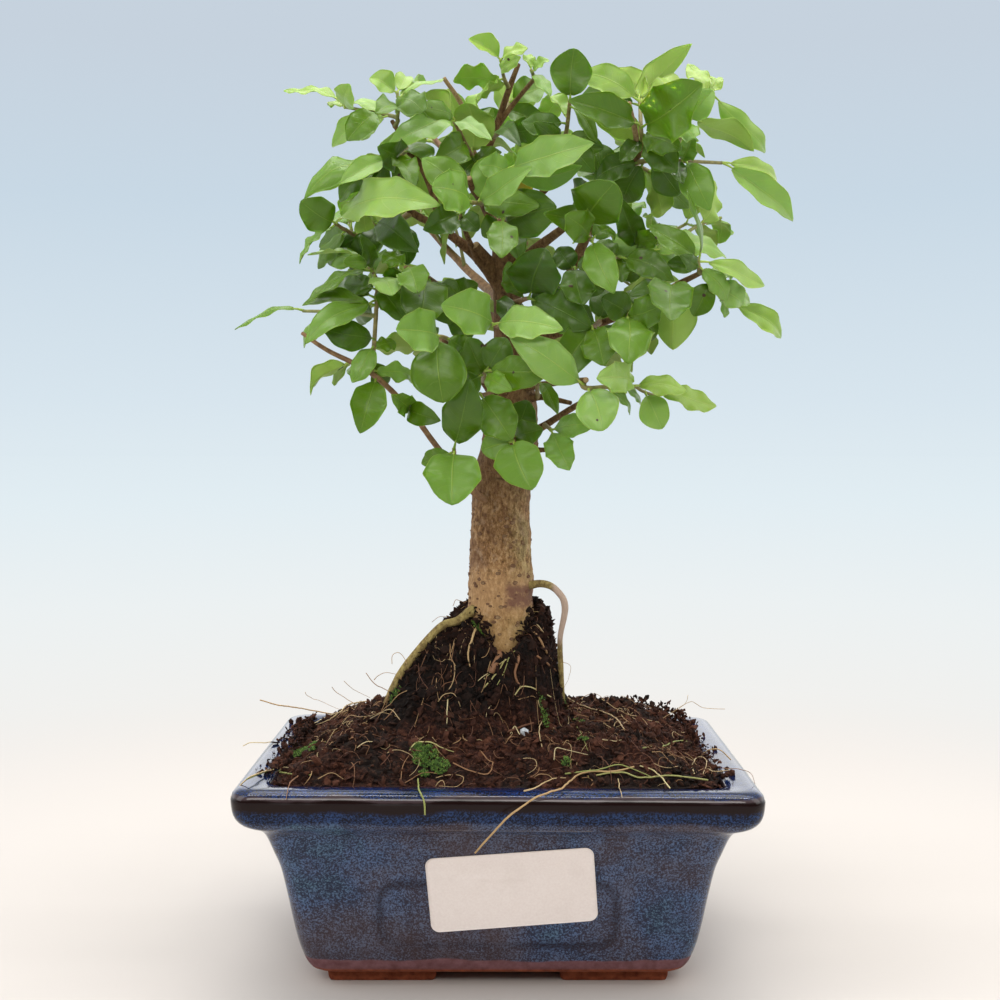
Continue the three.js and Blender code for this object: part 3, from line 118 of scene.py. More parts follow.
def node(tree, kind, inputs=None, **settings):
    """A node with its settings, its inputs linked or set to a value."""
    made = tree.nodes.new(kind)
    for name, value in settings.items():
        setattr(made, name, value)
    for key, value in (inputs or {}).items():
        if isinstance(value, bpy.types.NodeSocket):
            tree.links.new(value, made.inputs[key])
        else:
            made.inputs[key].default_value = value
    return made


def ramp(tree, factor, stops):
    """A colour that runs through the stops as the factor rises."""
    made = node(tree, "ShaderNodeValToRGB", {"Fac": factor})
    while len(made.color_ramp.elements) < len(stops):
        made.color_ramp.elements.new(0.5)
    for element, (position, colour) in zip(made.color_ramp.elements, stops):
        element.position = position
        element.color = (*colour, 1)
    return made.outputs["Color"]


air = bpy.data.worlds.new("studio_air")
bpy.context.scene.world = air
air.use_nodes = True
air_tree = air.node_tree
air_tree.nodes.clear()
air_way = node(air_tree, "ShaderNodeTexCoord").outputs["Generated"]
air_parts = node(air_tree, "ShaderNodeSeparateXYZ", {"Vector": air_way}).outputs
backdrop = ramp(air_tree, air_parts["Z"], [(0.0, (0.723, 0.815, 0.871)), (0.033, (0.686, 0.784, 0.855)),
                                           (0.17, (0.578, 0.687, 0.783)), (0.27, (0.565, 0.644, 0.73))])
behind = ramp(air_tree, air_parts["Z"], [(0.0, (0.8, 0.82, 0.84)), (0.12, (1.5, 1.52, 1.55)),
                                         (0.3, (1.4, 1.43, 1.48)), (0.5, (0.5, 0.53, 0.56)),
                                         (1.0, (0.85, 0.87, 0.9))])
before = ramp(air_tree, air_parts["Z"], [(0.0, (0.1, 0.09, 0.09)), (0.3, (0.16, 0.16, 0.16)),
                                         (0.6, (0.4, 0.41, 0.42)), (1.0, (0.85, 0.87, 0.9))])
seen_air = node(air_tree, "ShaderNodeBackground", {"Color": backdrop})
air_behind = node(air_tree, "ShaderNodeBackground", {"Color": behind})
air_before = node(air_tree, "ShaderNodeBackground", {"Color": before})
backward = node(air_tree, "ShaderNodeMapRange", {"Value": air_parts["Y"], "From Min": -0.25,
                                                 "From Max": 0.45}).outputs["Result"]
room = node(air_tree, "ShaderNodeMixShader", {0: backward, 1: air_before.outputs[0],
                                              2: air_behind.outputs[0]})
to_eye = node(air_tree, "ShaderNodeLightPath").outputs["Is Camera Ray"]
air_mix = node(air_tree, "ShaderNodeMixShader", {0: to_eye, 1: room.outputs[0], 2: seen_air.outputs[0]})
node(air_tree, "ShaderNodeOutputWorld", {"Surface": air_mix.outputs["Shader"]})
bpy.context.scene.view_settings.view_transform = "Standard"

# The table: a pale matt top without an edge. Further off it turns into the colour of the air behind it, by
# the angle at which the eye looks down on it, so that no line shows between the two.
FLOOR_RADIUS = 25
FLOOR_SIDES = 96
TABLE_PALE = (0.615, 0.575, 0.54)
TABLE_FADES = (0.17, 0.5)
UNLIT = (0.0, 0.0, 0.0)


def principled(name):
    """A new material with its node tree and its shader."""
    material = bpy.data.materials.new(name)
    material.use_nodes = True
    return material, material.node_tree, material.node_tree.nodes["Principled BSDF"]


def feed(tree, shader, bump=None, bump_distance=0.001, bump_strength=1.0, **colours):
    """Links values and, where there is one, the height of the fine relief to a shader."""
    for socket, value in colours.items():
        tree.links.new(value, shader.inputs[socket.replace("_", " ")])
    if bump is not None:
        relief_in = {"Height": bump, "Distance": bump_distance, "Strength": bump_strength}
        lift = node(tree, "ShaderNodeBump", relief_in)
        tree.links.new(lift.outputs["Normal"], shader.inputs["Normal"])


def blend_colour(tree, factor, first, second):
    """The first colour, turning into the second as the factor rises to one."""
    made = node(tree, "ShaderNodeMix", data_type="RGBA")
    for socket, value in (("Factor_Float", factor), ("A_Color", first), ("B_Color", second)):
        target = next(s for s in made.inputs if s.identifier == socket)
        if isinstance(value, bpy.types.NodeSocket):
            tree.links.new(value, target)
        else:
            target.default_value = value if isinstance(value, float) else (*value, 1)
    return next(s for s in made.outputs if s.identifier == "Result_Color")


def between(tree, value, low, high, to_low=0.0, to_high=1.0):
    """A soft step from one value to another while the input runs from low to high."""
    run = {"Value": value, "From Min": low, "From Max": high, "To Min": to_low, "To Max": to_high}
    return node(tree, "ShaderNodeMapRange", run, interpolation_type="SMOOTHSTEP").outputs["Result"]


def maths(tree, kind, *values):
    return node(tree, "ShaderNodeMath", dict(enumerate(values)), operation=kind).outputs["Value"]


def sum_of(tree, first, second):
    return maths(tree, "ADD", first, second)


floor_turns = [math.tau * i / FLOOR_SIDES for i in range(FLOOR_SIDES)]
floor_ring = [(FLOOR_RADIUS * math.cos(turn), FLOOR_RADIUS * math.sin(turn), 0) for turn in floor_turns]
floor_mesh = bpy.data.meshes.new("floor")
floor_mesh.from_pydata(floor_ring, [], [tuple(range(FLOOR_SIDES))])
floor = bpy.data.objects.new("floor", floor_mesh)
bpy.context.scene.collection.objects.link(floor)
table, table_tree, table_shader = principled("pale_table")
table_spot = node(table_tree, "ShaderNodeTexCoord").outputs["Object"]
table_reach = node(table_tree, "ShaderNodeVectorMath", {0: table_spot}, operation="LENGTH").outputs["Value"]
table_far = between(table_tree, table_reach, *TABLE_FADES)
table_dip = maths(table_tree, "DIVIDE", EYE_HEIGHT / 1000, sum_of(table_tree, table_reach, EYE_AWAY / 1000))
table_air = ramp(table_tree, table_dip, [(0.0, (0.723, 0.815, 0.871)), (0.038, (0.76, 0.848, 0.893)),
                                         (0.109, (0.839, 0.879, 0.888)), (0.182, (0.888, 0.879, 0.855)),
                                         (0.256, (0.93, 0.888, 0.847))])
feed(table_tree, table_shader, Base_Color=blend_colour(table_tree, table_far, TABLE_PALE, UNLIT),
     Emission_Color=blend_colour(table_tree, table_far, UNLIT, table_air))
table_shader.inputs["Emission Strength"].default_value = 1.0
table_shader.inputs["Roughness"].default_value = 0.9
table_shader.inputs["Specular IOR Level"].default_value = 0.0
floor_mesh.materials.append(table)

# The pot: one pressed clay body with flaring walls, a thick rolled rim and four low corner feet. A speckled
# glaze covers it down to a wavy line above the base and has half filled a low frame relief in its long walls;
# the darker glaze just inside the frame is pooled glaze and painted shade in that hollow.
# Its outline is given as half the width at each height, and the corner's radius.
RIM_HALF = 77
DEPTH_LESS = 17
RIM_SAG = 0.008
POT_OUTLINE = [
    (52, 3.9, 6), (55.9, 4.4, 7), (57.6, 6, 7.5), (59, 9, 8), (60.3, 13.3, 8), (61.6, 19.5, 8),
    (63, 27.5, 8), (64.8, 36.5, 8), (66.7, 42.2, 8), (68.6, 47.6, 7.5), (70.6, 50.2, 7), (74.4, 52.4, 6.5),
    (76.5, 55.6, 6.5), (77.1, 60.5, 6.5), (76.6, 62.1, 6.5), (75, 63.2, 6.3), (72.6, 63.5, 6),
    (68.4, 63.1, 6), (66.8, 61.8, 6), (63, 52.5, 6), (59.5, 39, 6), (56.7, 24, 6), (53.5, 13.5, 6), (50, 11, 6),
]
POT_BASE = 3.9
POT_FLOOR = 11
DRAIN_SHARES = (0.25, 0.5, 0.75, 1)
WALL_TOP = 49
OUTER_RINGS = 40
SIDE_HALF = 30
STEP_ON_POT = 1.25
DRAIN_RADIUS = 7
CORNER_POINTS = 9
LONG_POINTS = 92
SHORT_POINTS = 66
FRAME_RELIEF = {"half_width": 36.5, "low": 12.5, "high": 35, "corner": 7, "proud": 0.42, "soft": 0.95}
FOOT = {"inner": 18.8, "outer": 51.8, "side": 34.8, "back": 8, "leg": 9, "height": 6}


def curve_through(points, step):
    """Points of a smooth curve through the given ones, about one step apart."""
    points = np.array(points, float)
    ends = np.vstack([2 * points[0] - points[1], points, 2 * points[-1] - points[-2]])
    out = []
    for i in range(1, len(ends) - 2):
        p0, p1, p2, p3 = ends[i - 1:i + 3]
        count = max(1, int(round(np.linalg.norm((p2 - p1)[:3]) / step)))
        for t in np.arange(count) / count:
            bend = 2 * p0 - 5 * p1 + 4 * p2 - p3
            turn = 3 * p1 - p0 - 3 * p2 + p3
            out.append(p1 + 0.5 * t * (p2 - p0 + t * (bend + t * turn)))
    out.append(points[-1])
    return np.array(out)


def oblong(half, height, corner):
    """One ring round the pot: an oblong with rounded corners."""
    half_x, half_y = half, half - DEPTH_LESS
    side_ends = ((half_x, half_y - corner), (-half_x + corner, half_y),
                 (-half_x, -half_y + corner), (half_x - corner, -half_y))
    ring = []
    for quarter, (sx, sy) in enumerate(((1, -1), (1, 1), (-1, 1), (-1, -1))):
        for i in range(CORNER_POINTS + 1):
            angle = math.radians(90 * quarter - 90 + 90 * i / CORNER_POINTS)
            ring.append((sx * (half_x - corner) + corner * math.cos(angle),
                         sy * (half_y - corner) + corner * math.sin(angle)))
        begin, end = ring[-1], side_ends[quarter]
        count = LONG_POINTS if quarter % 2 else SHORT_POINTS
        for share in (i / count for i in range(1, count)):
            ring.append((begin[0] + share * (end[0] - begin[0]), begin[1] + share * (end[1] - begin[1])))
    ring = np.array(ring)
    return np.column_stack([ring, np.full(len(ring), height)])


def off_frame(x, z):
    """Distance of a place on a long wall from the ridge of the raised frame, less than nought inside it."""
    half_width, low, high, corner = (FRAME_RELIEF[k] for k in ("half_width", "low", "high", "corner"))
    inside_x = abs(x) - (half_width - corner)
    inside_z = abs(z - (low + high) / 2) - ((high - low) / 2 - corner)
    outside = math.hypot(max(inside_x, 0), max(inside_z, 0)) + min(max(inside_x, inside_z), 0)
    return outside - corner


def relief(x, z):
    """How far the raised frame stands out of a long wall."""
    off = off_frame(x, z) / FRAME_RELIEF["soft"]
    return FRAME_RELIEF["proud"] * (math.exp(-off * off) - 0.5 / (1 + math.exp(3 * off)))


def pool_and_shade(x, z):
    """How much glaze has run together just inside the raised frame, which also darkens it there as painted
    shade in that hollow.
    """
    return math.exp(-((off_frame(x, z) + 1.6) / 1.3) ** 2)


def mesh_piece(name, points, faces, material, smooth=True):
    """A piece of the bonsai from points in millimetres."""
    mesh = bpy.data.meshes.new(name)
    mesh.from_pydata((np.asarray(points) / 1000).tolist(), [], faces)
    mesh.polygons.foreach_set("use_smooth", [smooth] * len(mesh.polygons))
    mesh.materials.append(material)
    mesh.validate()
    piece = bpy.data.objects.new(name, mesh)
    bpy.context.scene.collection.objects.link(piece)
    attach(piece, "root")
    return piece


def quads_between(rings, count, closed=False):
    """Faces of a skin over rings of equally many points."""
    faces = []
    for r in range(rings if closed else rings - 1):
        for i in range(count):
            j = (i + 1) % count
            up = (r + 1) % rings
            faces.append((r * count + i, r * count + j, up * count + j, up * count + i))
    return faces


pot_outline = curve_through(POT_OUTLINE, STEP_ON_POT)
pot_rings = [oblong(*step) for step in pot_outline]
around = len(pot_rings[0])
drain_angles = np.arctan2(pot_rings[0][:, 1], pot_rings[0][:, 0])
for height, wall_ring, shares in ((POT_FLOOR, pot_rings[-1], DRAIN_SHARES),
                                  (POT_BASE, pot_rings[0], DRAIN_SHARES[::-1])):
    drain = np.column_stack([DRAIN_RADIUS * np.cos(drain_angles), DRAIN_RADIUS * np.sin(drain_angles),
                             np.full(around, height)])
    pot_rings += [wall_ring * (1 - share) + drain * share for share in shares]
pot_points = np.vstack(pot_rings)
for i, (x, y, z) in enumerate(pot_points):
    long_wall = abs(y) > SIDE_HALF
    outward = 0
    if i // around < min(OUTER_RINGS, len(pot_outline)) and z < WALL_TOP:
        outward = 0.16 * noise.noise((x * 0.05, y * 0.05, z * 0.08)) + (relief(x, z) if long_wall else 0)
    elif i // around < len(pot_outline) and z >= WALL_TOP:
        outward = 0.22 * noise.noise((x * 0.045, y * 0.045, 7))
    pot_points[i, 1 if long_wall else 0] += math.copysign(outward, y if long_wall else x)
# A mask of pooled glaze and painted shade just inside the frame on the long walls.
pooled_glaze_and_shade = [0.0 if abs(y) < SIDE_HALF or z > WALL_TOP - 3 else pool_and_shade(x, z) for x, y, z in pot_points]
pot_points[:, 2] *= 1 - RIM_SAG * pot_points[:, 0] / RIM_HALF
pot_points += (POT_X, POT_Y, 0)
pot_faces = quads_between(len(pot_rings), around, closed=True)

foot_points = []
foot_faces = []
for sx, sy in ((1, 1), (1, -1), (-1, 1), (-1, -1)):
    inner, outer, side, back, leg = (FOOT[k] for k in ("inner", "outer", "side", "back", "leg"))
    outline = [(inner, side), (outer, side), (outer, back), (outer - leg, back), (outer - leg, side - leg),
               (inner, side - leg)]
    rounded = []
    for i, corner in enumerate(outline):
        before, after = np.array(outline[i - 1]), np.array(outline[(i + 1) % 6])
        corner = np.array(corner)
        near = [corner + 1.3 * (p - corner) / np.linalg.norm(p - corner) for p in (before, after)]
        rounded += [near[0], (near[0] + near[1] + 2 * corner) / 4, near[1]]
    rounded = np.array(rounded)
    middle = np.array([(inner + outer) / 2, (side + back) / 2])
    start = len(foot_points)
    for height, scale in ((0, 0.955), (0.35, 0.975), (1.2, 0.99), (3, 1), (FOOT["height"], 1)):
        for i, (x, y) in enumerate(middle + (rounded - middle) * scale):
            rough = 0.25 * noise.noise((x * 0.4, y * 0.4, height + 3)) if height else 0
            foot_points.append((POT_X + sx * (x + rough), POT_Y + sy * (y + rough), height))
    count = len(rounded)
    ring_faces = [tuple(start + k for k in face) for face in quads_between(5, count)]
    caps = [tuple(start + k for k in range(count)), tuple(start + 4 * count + k for k in range(count))]
    turn = sx * sy > 0
    foot_faces += [face[::-1] if turn else face for face in ring_faces]
    foot_faces += [caps[0] if turn else caps[0][::-1], caps[1][::-1] if turn else caps[1]]
pot_faces += [tuple(k + len(pot_points) for k in face) for face in foot_faces]
pot_points = np.vstack([pot_points, foot_points])


def grain(tree, where, scale, detail=3.0, rough=0.6):
    """A cloudy pattern that mottles a finish."""
    cloudy = {"Vector": where, "Scale": scale, "Detail": detail, "Roughness": rough}
    return node(tree, "ShaderNodeTexNoise", cloudy).outputs["Fac"]


def times(tree, first, second):
    return maths(tree, "MULTIPLY", first, second)


glaze, glaze_tree, glaze_shader = principled("speckled_glaze")
on_pot = node(glaze_tree, "ShaderNodeTexCoord").outputs["Object"]
up_pot = node(glaze_tree, "ShaderNodeSeparateXYZ", {"Vector": on_pot}).outputs["Z"]
drift = grain(glaze_tree, on_pot, 38, 3)
wander = sum_of(glaze_tree, up_pot, times(glaze_tree, drift, 0.0045))
fleck_web = grain(glaze_tree, on_pot, 1750, 4, 0.75)
fleck_density = grain(glaze_tree, on_pot, 110, 3)
cloud = grain(glaze_tree, on_pot, 24, 4)
flecks = sum_of(glaze_tree, fleck_web, times(glaze_tree, fleck_density, 0.2))
flecks = between(glaze_tree, flecks, 0.55, 0.7)
flecks_here = times(glaze_tree, flecks, between(glaze_tree, cloud, 0.3, 0.62, 0.35, 1.0))
under_colour = ramp(glaze_tree, cloud, [(0.32, (0.055, 0.034, 0.034)), (0.5, (0.042, 0.03, 0.038)),
                                        (0.68, (0.016, 0.024, 0.05))])
fleck_colour = ramp(glaze_tree, cloud, [(0.34, (0.13, 0.115, 0.15)), (0.48, (0.125, 0.15, 0.23)),
                                        (0.62, (0.085, 0.14, 0.27)), (0.72, (0.09, 0.17, 0.22))])
wall_colour = blend_colour(glaze_tree, flecks_here, under_colour, fleck_colour)
rim_blue = blend_colour(glaze_tree, flecks, (0.005, 0.005, 0.012), (0.022, 0.052, 0.15))
above_wall = between(glaze_tree, wander, 0.0553, 0.0573)
rim_face = between(glaze_tree, wander, 0.059, 0.0608)
rim_edge = between(glaze_tree, wander, 0.0632, 0.0638)
rim_top = between(glaze_tree, wander, 0.0641, 0.0648)
rim_colour = blend_colour(glaze_tree, rim_face, rim_blue, (0.011, 0.004, 0.0035))
rim_colour = blend_colour(glaze_tree, rim_edge, rim_colour, (0.05, 0.032, 0.035))
top_blue = blend_colour(glaze_tree, flecks, (0.003, 0.004, 0.01), (0.01, 0.035, 0.15))
rim_colour = blend_colour(glaze_tree, rim_top, rim_colour, top_blue)
# Darker glaze just inside the raised frame: pooled glaze, and painted shade in that hollow.
pool_and_shade_here = node(glaze_tree, "ShaderNodeAttribute", attribute_name="pooled_glaze_and_shade").outputs["Fac"]
pool_and_shade_here = times(glaze_tree, pool_and_shade_here, between(glaze_tree, cloud, 0.35, 0.6, 0.1, 0.75))
wall_colour = blend_colour(glaze_tree, pool_and_shade_here, wall_colour, (0.012, 0.008, 0.014))
glazed = blend_colour(glaze_tree, above_wall, wall_colour, rim_colour)
clay_line = between(glaze_tree, wander, 0.0108, 0.0115)
clay_grain = grain(glaze_tree, on_pot, 420, 4)
bare = ramp(glaze_tree, clay_grain, [(0.3, (0.12, 0.05, 0.055)), (0.7, (0.21, 0.1, 0.11))])
foot_clay = ramp(glaze_tree, clay_grain, [(0.3, (0.14, 0.03, 0.012)), (0.7, (0.33, 0.09, 0.04))])
bare = blend_colour(glaze_tree, between(glaze_tree, up_pot, 0.0052, 0.0062), foot_clay, bare)
feed(glaze_tree, glaze_shader, Base_Color=blend_colour(glaze_tree, clay_line, bare, glazed),
     Roughness=between(glaze_tree, clay_line, 0, 1, 0.75, 0.12),
     Coat_Weight=times(glaze_tree, clay_line, between(glaze_tree, wander, 0.0625, 0.0636, 0.03, 0.45)),
     bump=sum_of(glaze_tree, clay_grain, times(glaze_tree, fleck_web, 0.25)),
     bump_distance=0.0002, bump_strength=0.25)
glaze_shader.inputs["Coat Roughness"].default_value = 0.05
glaze_shader.inputs["Coat IOR"].default_value = 1.6
glaze_shader.inputs["Specular IOR Level"].default_value = 0.16
pot = mesh_piece("pot_body", pot_points, pot_faces, glaze)
pooled_glaze_and_shade += [0.0] * (len(pot_points) - len(pooled_glaze_and_shade))
pot.data.attributes.new("pooled_glaze_and_shade", "FLOAT", "POINT").data.foreach_set("value", pooled_glaze_and_shade)
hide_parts("pot")

# The soil: dark peat with red-brown fibre, level with the rim at the walls and heaped steeply over the root
# ball. It is one crumbled skin down to the bottom of the pot, with loose crumbs of peat pressed into it.
SOIL_EDGE = (66.9, 49.9)
SOIL_LONG = 65.5
SOIL_WIDE = 48.5
SOIL_IN_POT = 0.3
SOIL_CENTRE_X = 2.5
SOIL_AROUND = 300
SOIL_RINGS = 130
SOIL_ROUND = [(1, 0, 0), (0.89, 50, 0.1), (0.77, 44, 0.3), (0.66, 38, 0.65), (0.55, 32, 0.9), (0.45, 27, 1),
              (0.4, 23, 1), (0.35, 19, 1), (0.3, 15.5, 1), (0.25, 12.5, 1), (0.1, 5, 1), (0.02, 1, 1)]
SOIL_UNDER = [(50, 11.3), (53.5, 13.5), (56.7, 24), (59.5, 39), (63, 52.5), (65.6, 58.5)]
LOOSE_CRUMBS = 14800
SPILT_CRUMBS = 900
BACK_CRUMBS = 45
FOOT_CRUMBS = 32
RIM_TOP = 63.5
BACK_CLODS = [(576, 700), (596, 704), (609, 702), (622, 701), (631, 700), (639, 695), (646, 701), (655, 705),
              (662, 700), (670, 706), (680, 708), (686, 713)]
FOOT_CLODS = [(478, 612, 7.5), (482, 619, 9), (486, 627, 10), (491, 636, 10.5), (530, 612, 5), (528, 619, 7),
              (525, 627, 8), (519, 636, 9.5)]
UNDER_LEFT_ROOT = [(457, 621, 7), (439, 628, 8), (421, 646, 9), (407, 665, 10), (394, 687, 11)]
ROOT_ROUTE = [place(*spot) - (POT_X, POT_Y, 0) for spot in UNDER_LEFT_ROOT]


def ease(t):
    """A soft step from 0 to 1."""
    t = min(1, max(0, t))
    return t * t * (3 - 2 * t)


def soil_height(x, y):
    """Height of the soil over the table at a place counted from the pot's middle."""
    dx = x - SOIL_CENTRE_X
    distance = math.hypot(dx, y)
    leftward = max(0, -dx / distance) if distance > 0 else 0
    foot = 21.5 + 18.5 * leftward * leftward
    crown = 12.5
    frontward = max(0, -y / distance) if distance > 0 else 0
    climb = 5 * (1 - frontward) - 9 * frontward ** 3 * ease((24 - distance) / 10)
    edge = max(abs(x) / SOIL_LONG, abs(y) / SOIL_WIDE)
    heaped = max(ease((y - 2) / 34), ease((-dx - 22) / 30))
    plain = 62.6 + 9.5 * ease((1 - edge) / 0.42) + 2.8 * heaped * ease((1 - edge) / 0.13)
    lumps = 0.7 * math.sin(x * 0.31 + 1.3) * math.cos(y * 0.37 + 0.4)
    heap = plain + (33 + climb) * ease((foot - distance) / (foot - crown)) + lumps * ease((1 - edge) / 0.2)
    for low, high in zip(ROOT_ROUTE[1:], ROOT_ROUTE):
        span = high - low
        share = ((x - low[0]) * span[0] + (y - low[1]) * span[1]) / (span[0] ** 2 + span[1] ** 2)
        nearest = low + span * min(1, max(0, share))
        gap = math.hypot(x - nearest[0], y - nearest[1])
        heap = max(heap, nearest[2] - 1.2 - 1.5 * gap)
    return heap


def crumbled(x, y, z):
    """How far crumbs stand out of the soil at a place."""
    coarse = noise.voronoi((x * 0.3, y * 0.3, z * 0.3))[0]
    fine = noise.voronoi((x * 0.85 + 5, y * 0.85, z * 0.85))[0]
    tiny = noise.noise((x * 2.3, y * 2.3, z * 2.3))
    swell = noise.noise((x * 0.12, y * 0.12, 3))
    return 2.1 * (0.45 - coarse[0]) + 1.0 * (0.4 - fine[0]) + 0.3 * tiny + 1.0 * swell


def round_box(half_x, half_y, angle):
    """Where a ray from the middle leaves an oblong with rounded corners."""
    squareness = 9
    c, s = math.cos(angle), math.sin(angle)
    reach = (abs(c / half_x) ** squareness + abs(s / half_y) ** squareness) ** (-1 / squareness)
    return reach * c, reach * s


soil_steps = curve_through(SOIL_ROUND, 0.0045)
soil_steps = soil_steps[np.linspace(0, len(soil_steps) - 1, SOIL_RINGS).astype(int)]
soil_points = []
soil_angles = [math.tau * i / SOIL_AROUND for i in range(SOIL_AROUND)]
for half, height in SOIL_UNDER:
    for angle in soil_angles:
        x, y = round_box(half - SOIL_IN_POT, half - DEPTH_LESS - SOIL_IN_POT, angle)
        soil_points.append((x, y, height))
for scale, radius, share in soil_steps:
    for angle in soil_angles:
        edge_x, edge_y = round_box(*SOIL_EDGE, angle)
        x = (SOIL_CENTRE_X * (1 - scale) + edge_x * scale) * (1 - share)
        x += (SOIL_CENTRE_X + radius * math.cos(angle)) * share
        y = edge_y * scale * (1 - share) + radius * math.sin(angle) * share
        z = soil_height(x, y)
        slope_x = (soil_height(x + 0.8, y) - soil_height(x - 0.8, y)) / 1.6
        slope_y = (soil_height(x, y + 0.8) - soil_height(x, y - 0.8)) / 1.6
        way = np.array([-slope_x, -slope_y, 1]) / math.sqrt(1 + slope_x ** 2 + slope_y ** 2)
        inside = ease((1 - max(abs(x) / SOIL_LONG, abs(y) / SOIL_WIDE)) / 0.05)
        soil_points.append(np.array([x, y, z]) + way * crumbled(x, y, z) * (0.25 + 0.75 * inside))
soil_points = np.array(soil_points)
soil_points[:, :2] += (POT_X, POT_Y)
soil_faces = quads_between(len(SOIL_UNDER) + SOIL_RINGS, SOIL_AROUND)
soil_faces.append(tuple(range(SOIL_AROUND))[::-1])
soil_faces.append(tuple(len(soil_points) - SOIL_AROUND + i for i in range(SOIL_AROUND)))

CRUMB_CORNERS = np.array([
    (0, 0, 1), (0.89, 0, 0.45), (0.28, 0.85, 0.45), (-0.72, 0.53, 0.45), (-0.72, -0.53, 0.45),
    (0.28, -0.85, 0.45), (0.72, 0.53, -0.45), (-0.28, 0.85, -0.45), (-0.89, 0, -0.45),
    (-0.28, -0.85, -0.45), (0.72, -0.53, -0.45), (0, 0, -1),
])
CRUMB_SIDES = [
    (0, 1, 2), (0, 2, 3), (0, 3, 4), (0, 4, 5), (0, 5, 1), (1, 6, 2), (2, 7, 3), (3, 8, 4), (4, 9, 5),
    (5, 10, 1), (2, 6, 7), (3, 7, 8), (4, 8, 9), (5, 9, 10), (1, 10, 6), (11, 7, 6), (11, 8, 7),
    (11, 9, 8), (11, 10, 9), (11, 6, 10),
]
SMALL_CORNERS = np.array([(1, 0, 0), (0, 1, 0), (-1, 0, 0), (0, -1, 0), (0, 0, 1), (0, 0, -1)])
SMALL_SIDES = [(0, 1, 4), (1, 2, 4), (2, 3, 4), (3, 0, 4), (1, 0, 5), (2, 1, 5), (3, 2, 5), (0, 3, 5)]


class Heap:
    """Points, faces and one shade value for each face, gathered from many small shapes into one piece."""

    def __init__(self):
        self.points = []
        self.faces = []
        self.shades = []

    def add(self, points, faces, shade=0.0):
        start = len(self.points)
        self.points.extend(points)
        self.faces.extend(tuple(start + i for i in face) for face in faces)
        self.shades.extend([shade] * len(faces))

    def piece(self, name, material, smooth=True):
        made = mesh_piece(name, self.points, self.faces, material, smooth)
        shade = made.data.attributes.new("shade", "FLOAT", "FACE")
        shade.data.foreach_set("value", self.shades)
        return made


crumb_draw = random.Random(41)


def put_crumb(heap, middle, size):
    """One crumb of peat: a skewed lump with twenty sides, or eight where it is small."""
    corners, sides = (CRUMB_CORNERS, CRUMB_SIDES) if size > 0.75 else (SMALL_CORNERS, SMALL_SIDES)
    skew = np.array([[crumb_draw.uniform(-0.6, 0.6) for _ in range(3)] for _ in range(3)]) + np.eye(3) * 0.8
    rough = np.array([[crumb_draw.uniform(0.6, 1.35)] for _ in corners])
    heap.add(list(middle + corners * rough @ skew * size), sides, crumb_draw.random() ** 2)


crumbs = Heap()
for k in range(LOOSE_CRUMBS):
    if k < LOOSE_CRUMBS * 0.66:
        x = crumb_draw.uniform(-SOIL_LONG, SOIL_LONG)
        y = crumb_draw.uniform(-SOIL_WIDE, SOIL_WIDE)
    else:
        turn = crumb_draw.uniform(0, math.tau)
        out = crumb_draw.uniform(11, 34)
        x, y = SOIL_CENTRE_X + out * math.cos(turn), out * math.sin(turn)
    size = 0.3 + 1.3 * crumb_draw.random() ** 4
    top = soil_height(x, y)
    put_crumb(crumbs, np.array([x + POT_X, y + POT_Y, top + 0.3 + crumbled(x, y, top) * 0.8]), size)
for across, down in BACK_CLODS:
    for k in range(BACK_CRUMBS):
        off = np.array([crumb_draw.gauss(0, 1), crumb_draw.gauss(0, 1.2), -5.5 * crumb_draw.random()])
        put_crumb(crumbs, place(across, down + 2, -43) + off * (1.35, 1, 1), crumb_draw.uniform(0.4, 1))
for clod in FOOT_CLODS:
    for k in range(FOOT_CRUMBS):
        off = np.array([crumb_draw.gauss(0, 0.8), crumb_draw.gauss(0, 0.5), crumb_draw.gauss(0, 1.2)])
        put_crumb(crumbs, place(*clod) + off, crumb_draw.uniform(0.3, 0.9))
for k in range(SPILT_CRUMBS):
    side = -1 if k % 4 else 1
    x = side * (65 + abs(crumb_draw.gauss(0, 3.4 if side < 0 else 2.2)))
    y = crumb_draw.uniform(-40, 47) if k % 3 else crumb_draw.uniform(5, 47)
    if abs(x) < 74:
        size = 0.3 + 0.8 * crumb_draw.random() ** 3
        high = max(0, 69.5 - abs(x)) * 0.7 * crumb_draw.random()
        rim_here = RIM_TOP * (1 - RIM_SAG * x / RIM_HALF)
        put_crumb(crumbs, np.array([x + POT_X, y + POT_Y, rim_here + size * 0.5 + high]), size)

peat, peat_tree, peat_shader = principled("damp_peat")
on_soil = node(peat_tree, "ShaderNodeTexCoord").outputs["Object"]
peat_patch = grain(peat_tree, on_soil, 55, 4)
peat_fine = grain(peat_tree, on_soil, 900, 4, 0.75)
peat_cells = node(peat_tree, "ShaderNodeTexVoronoi", {"Vector": on_soil, "Scale": 520}).outputs["Distance"]
peat_dark = ramp(peat_tree, peat_fine, [(0.3, (0.003, 0.0017, 0.0015)), (0.52, (0.011, 0.006, 0.0045)),
                                        (0.7, (0.045, 0.025, 0.015))])
peat_red = ramp(peat_tree, peat_fine, [(0.3, (0.009, 0.003, 0.002)), (0.52, (0.045, 0.0145, 0.009)),
                                       (0.7, (0.14, 0.055, 0.03))])
peat_share = sum_of(peat_tree, peat_patch, times(peat_tree, peat_cells, 0.12))
peat_share = between(peat_tree, peat_share, 0.46, 0.66)
crumb_tone = node(peat_tree, "ShaderNodeAttribute", attribute_name="shade").outputs["Fac"]
up_soil = node(peat_tree, "ShaderNodeSeparateXYZ", {"Vector": on_soil}).outputs["Z"]
root_ball = between(peat_tree, up_soil, 0.074, 0.086, 0.0, 0.62)
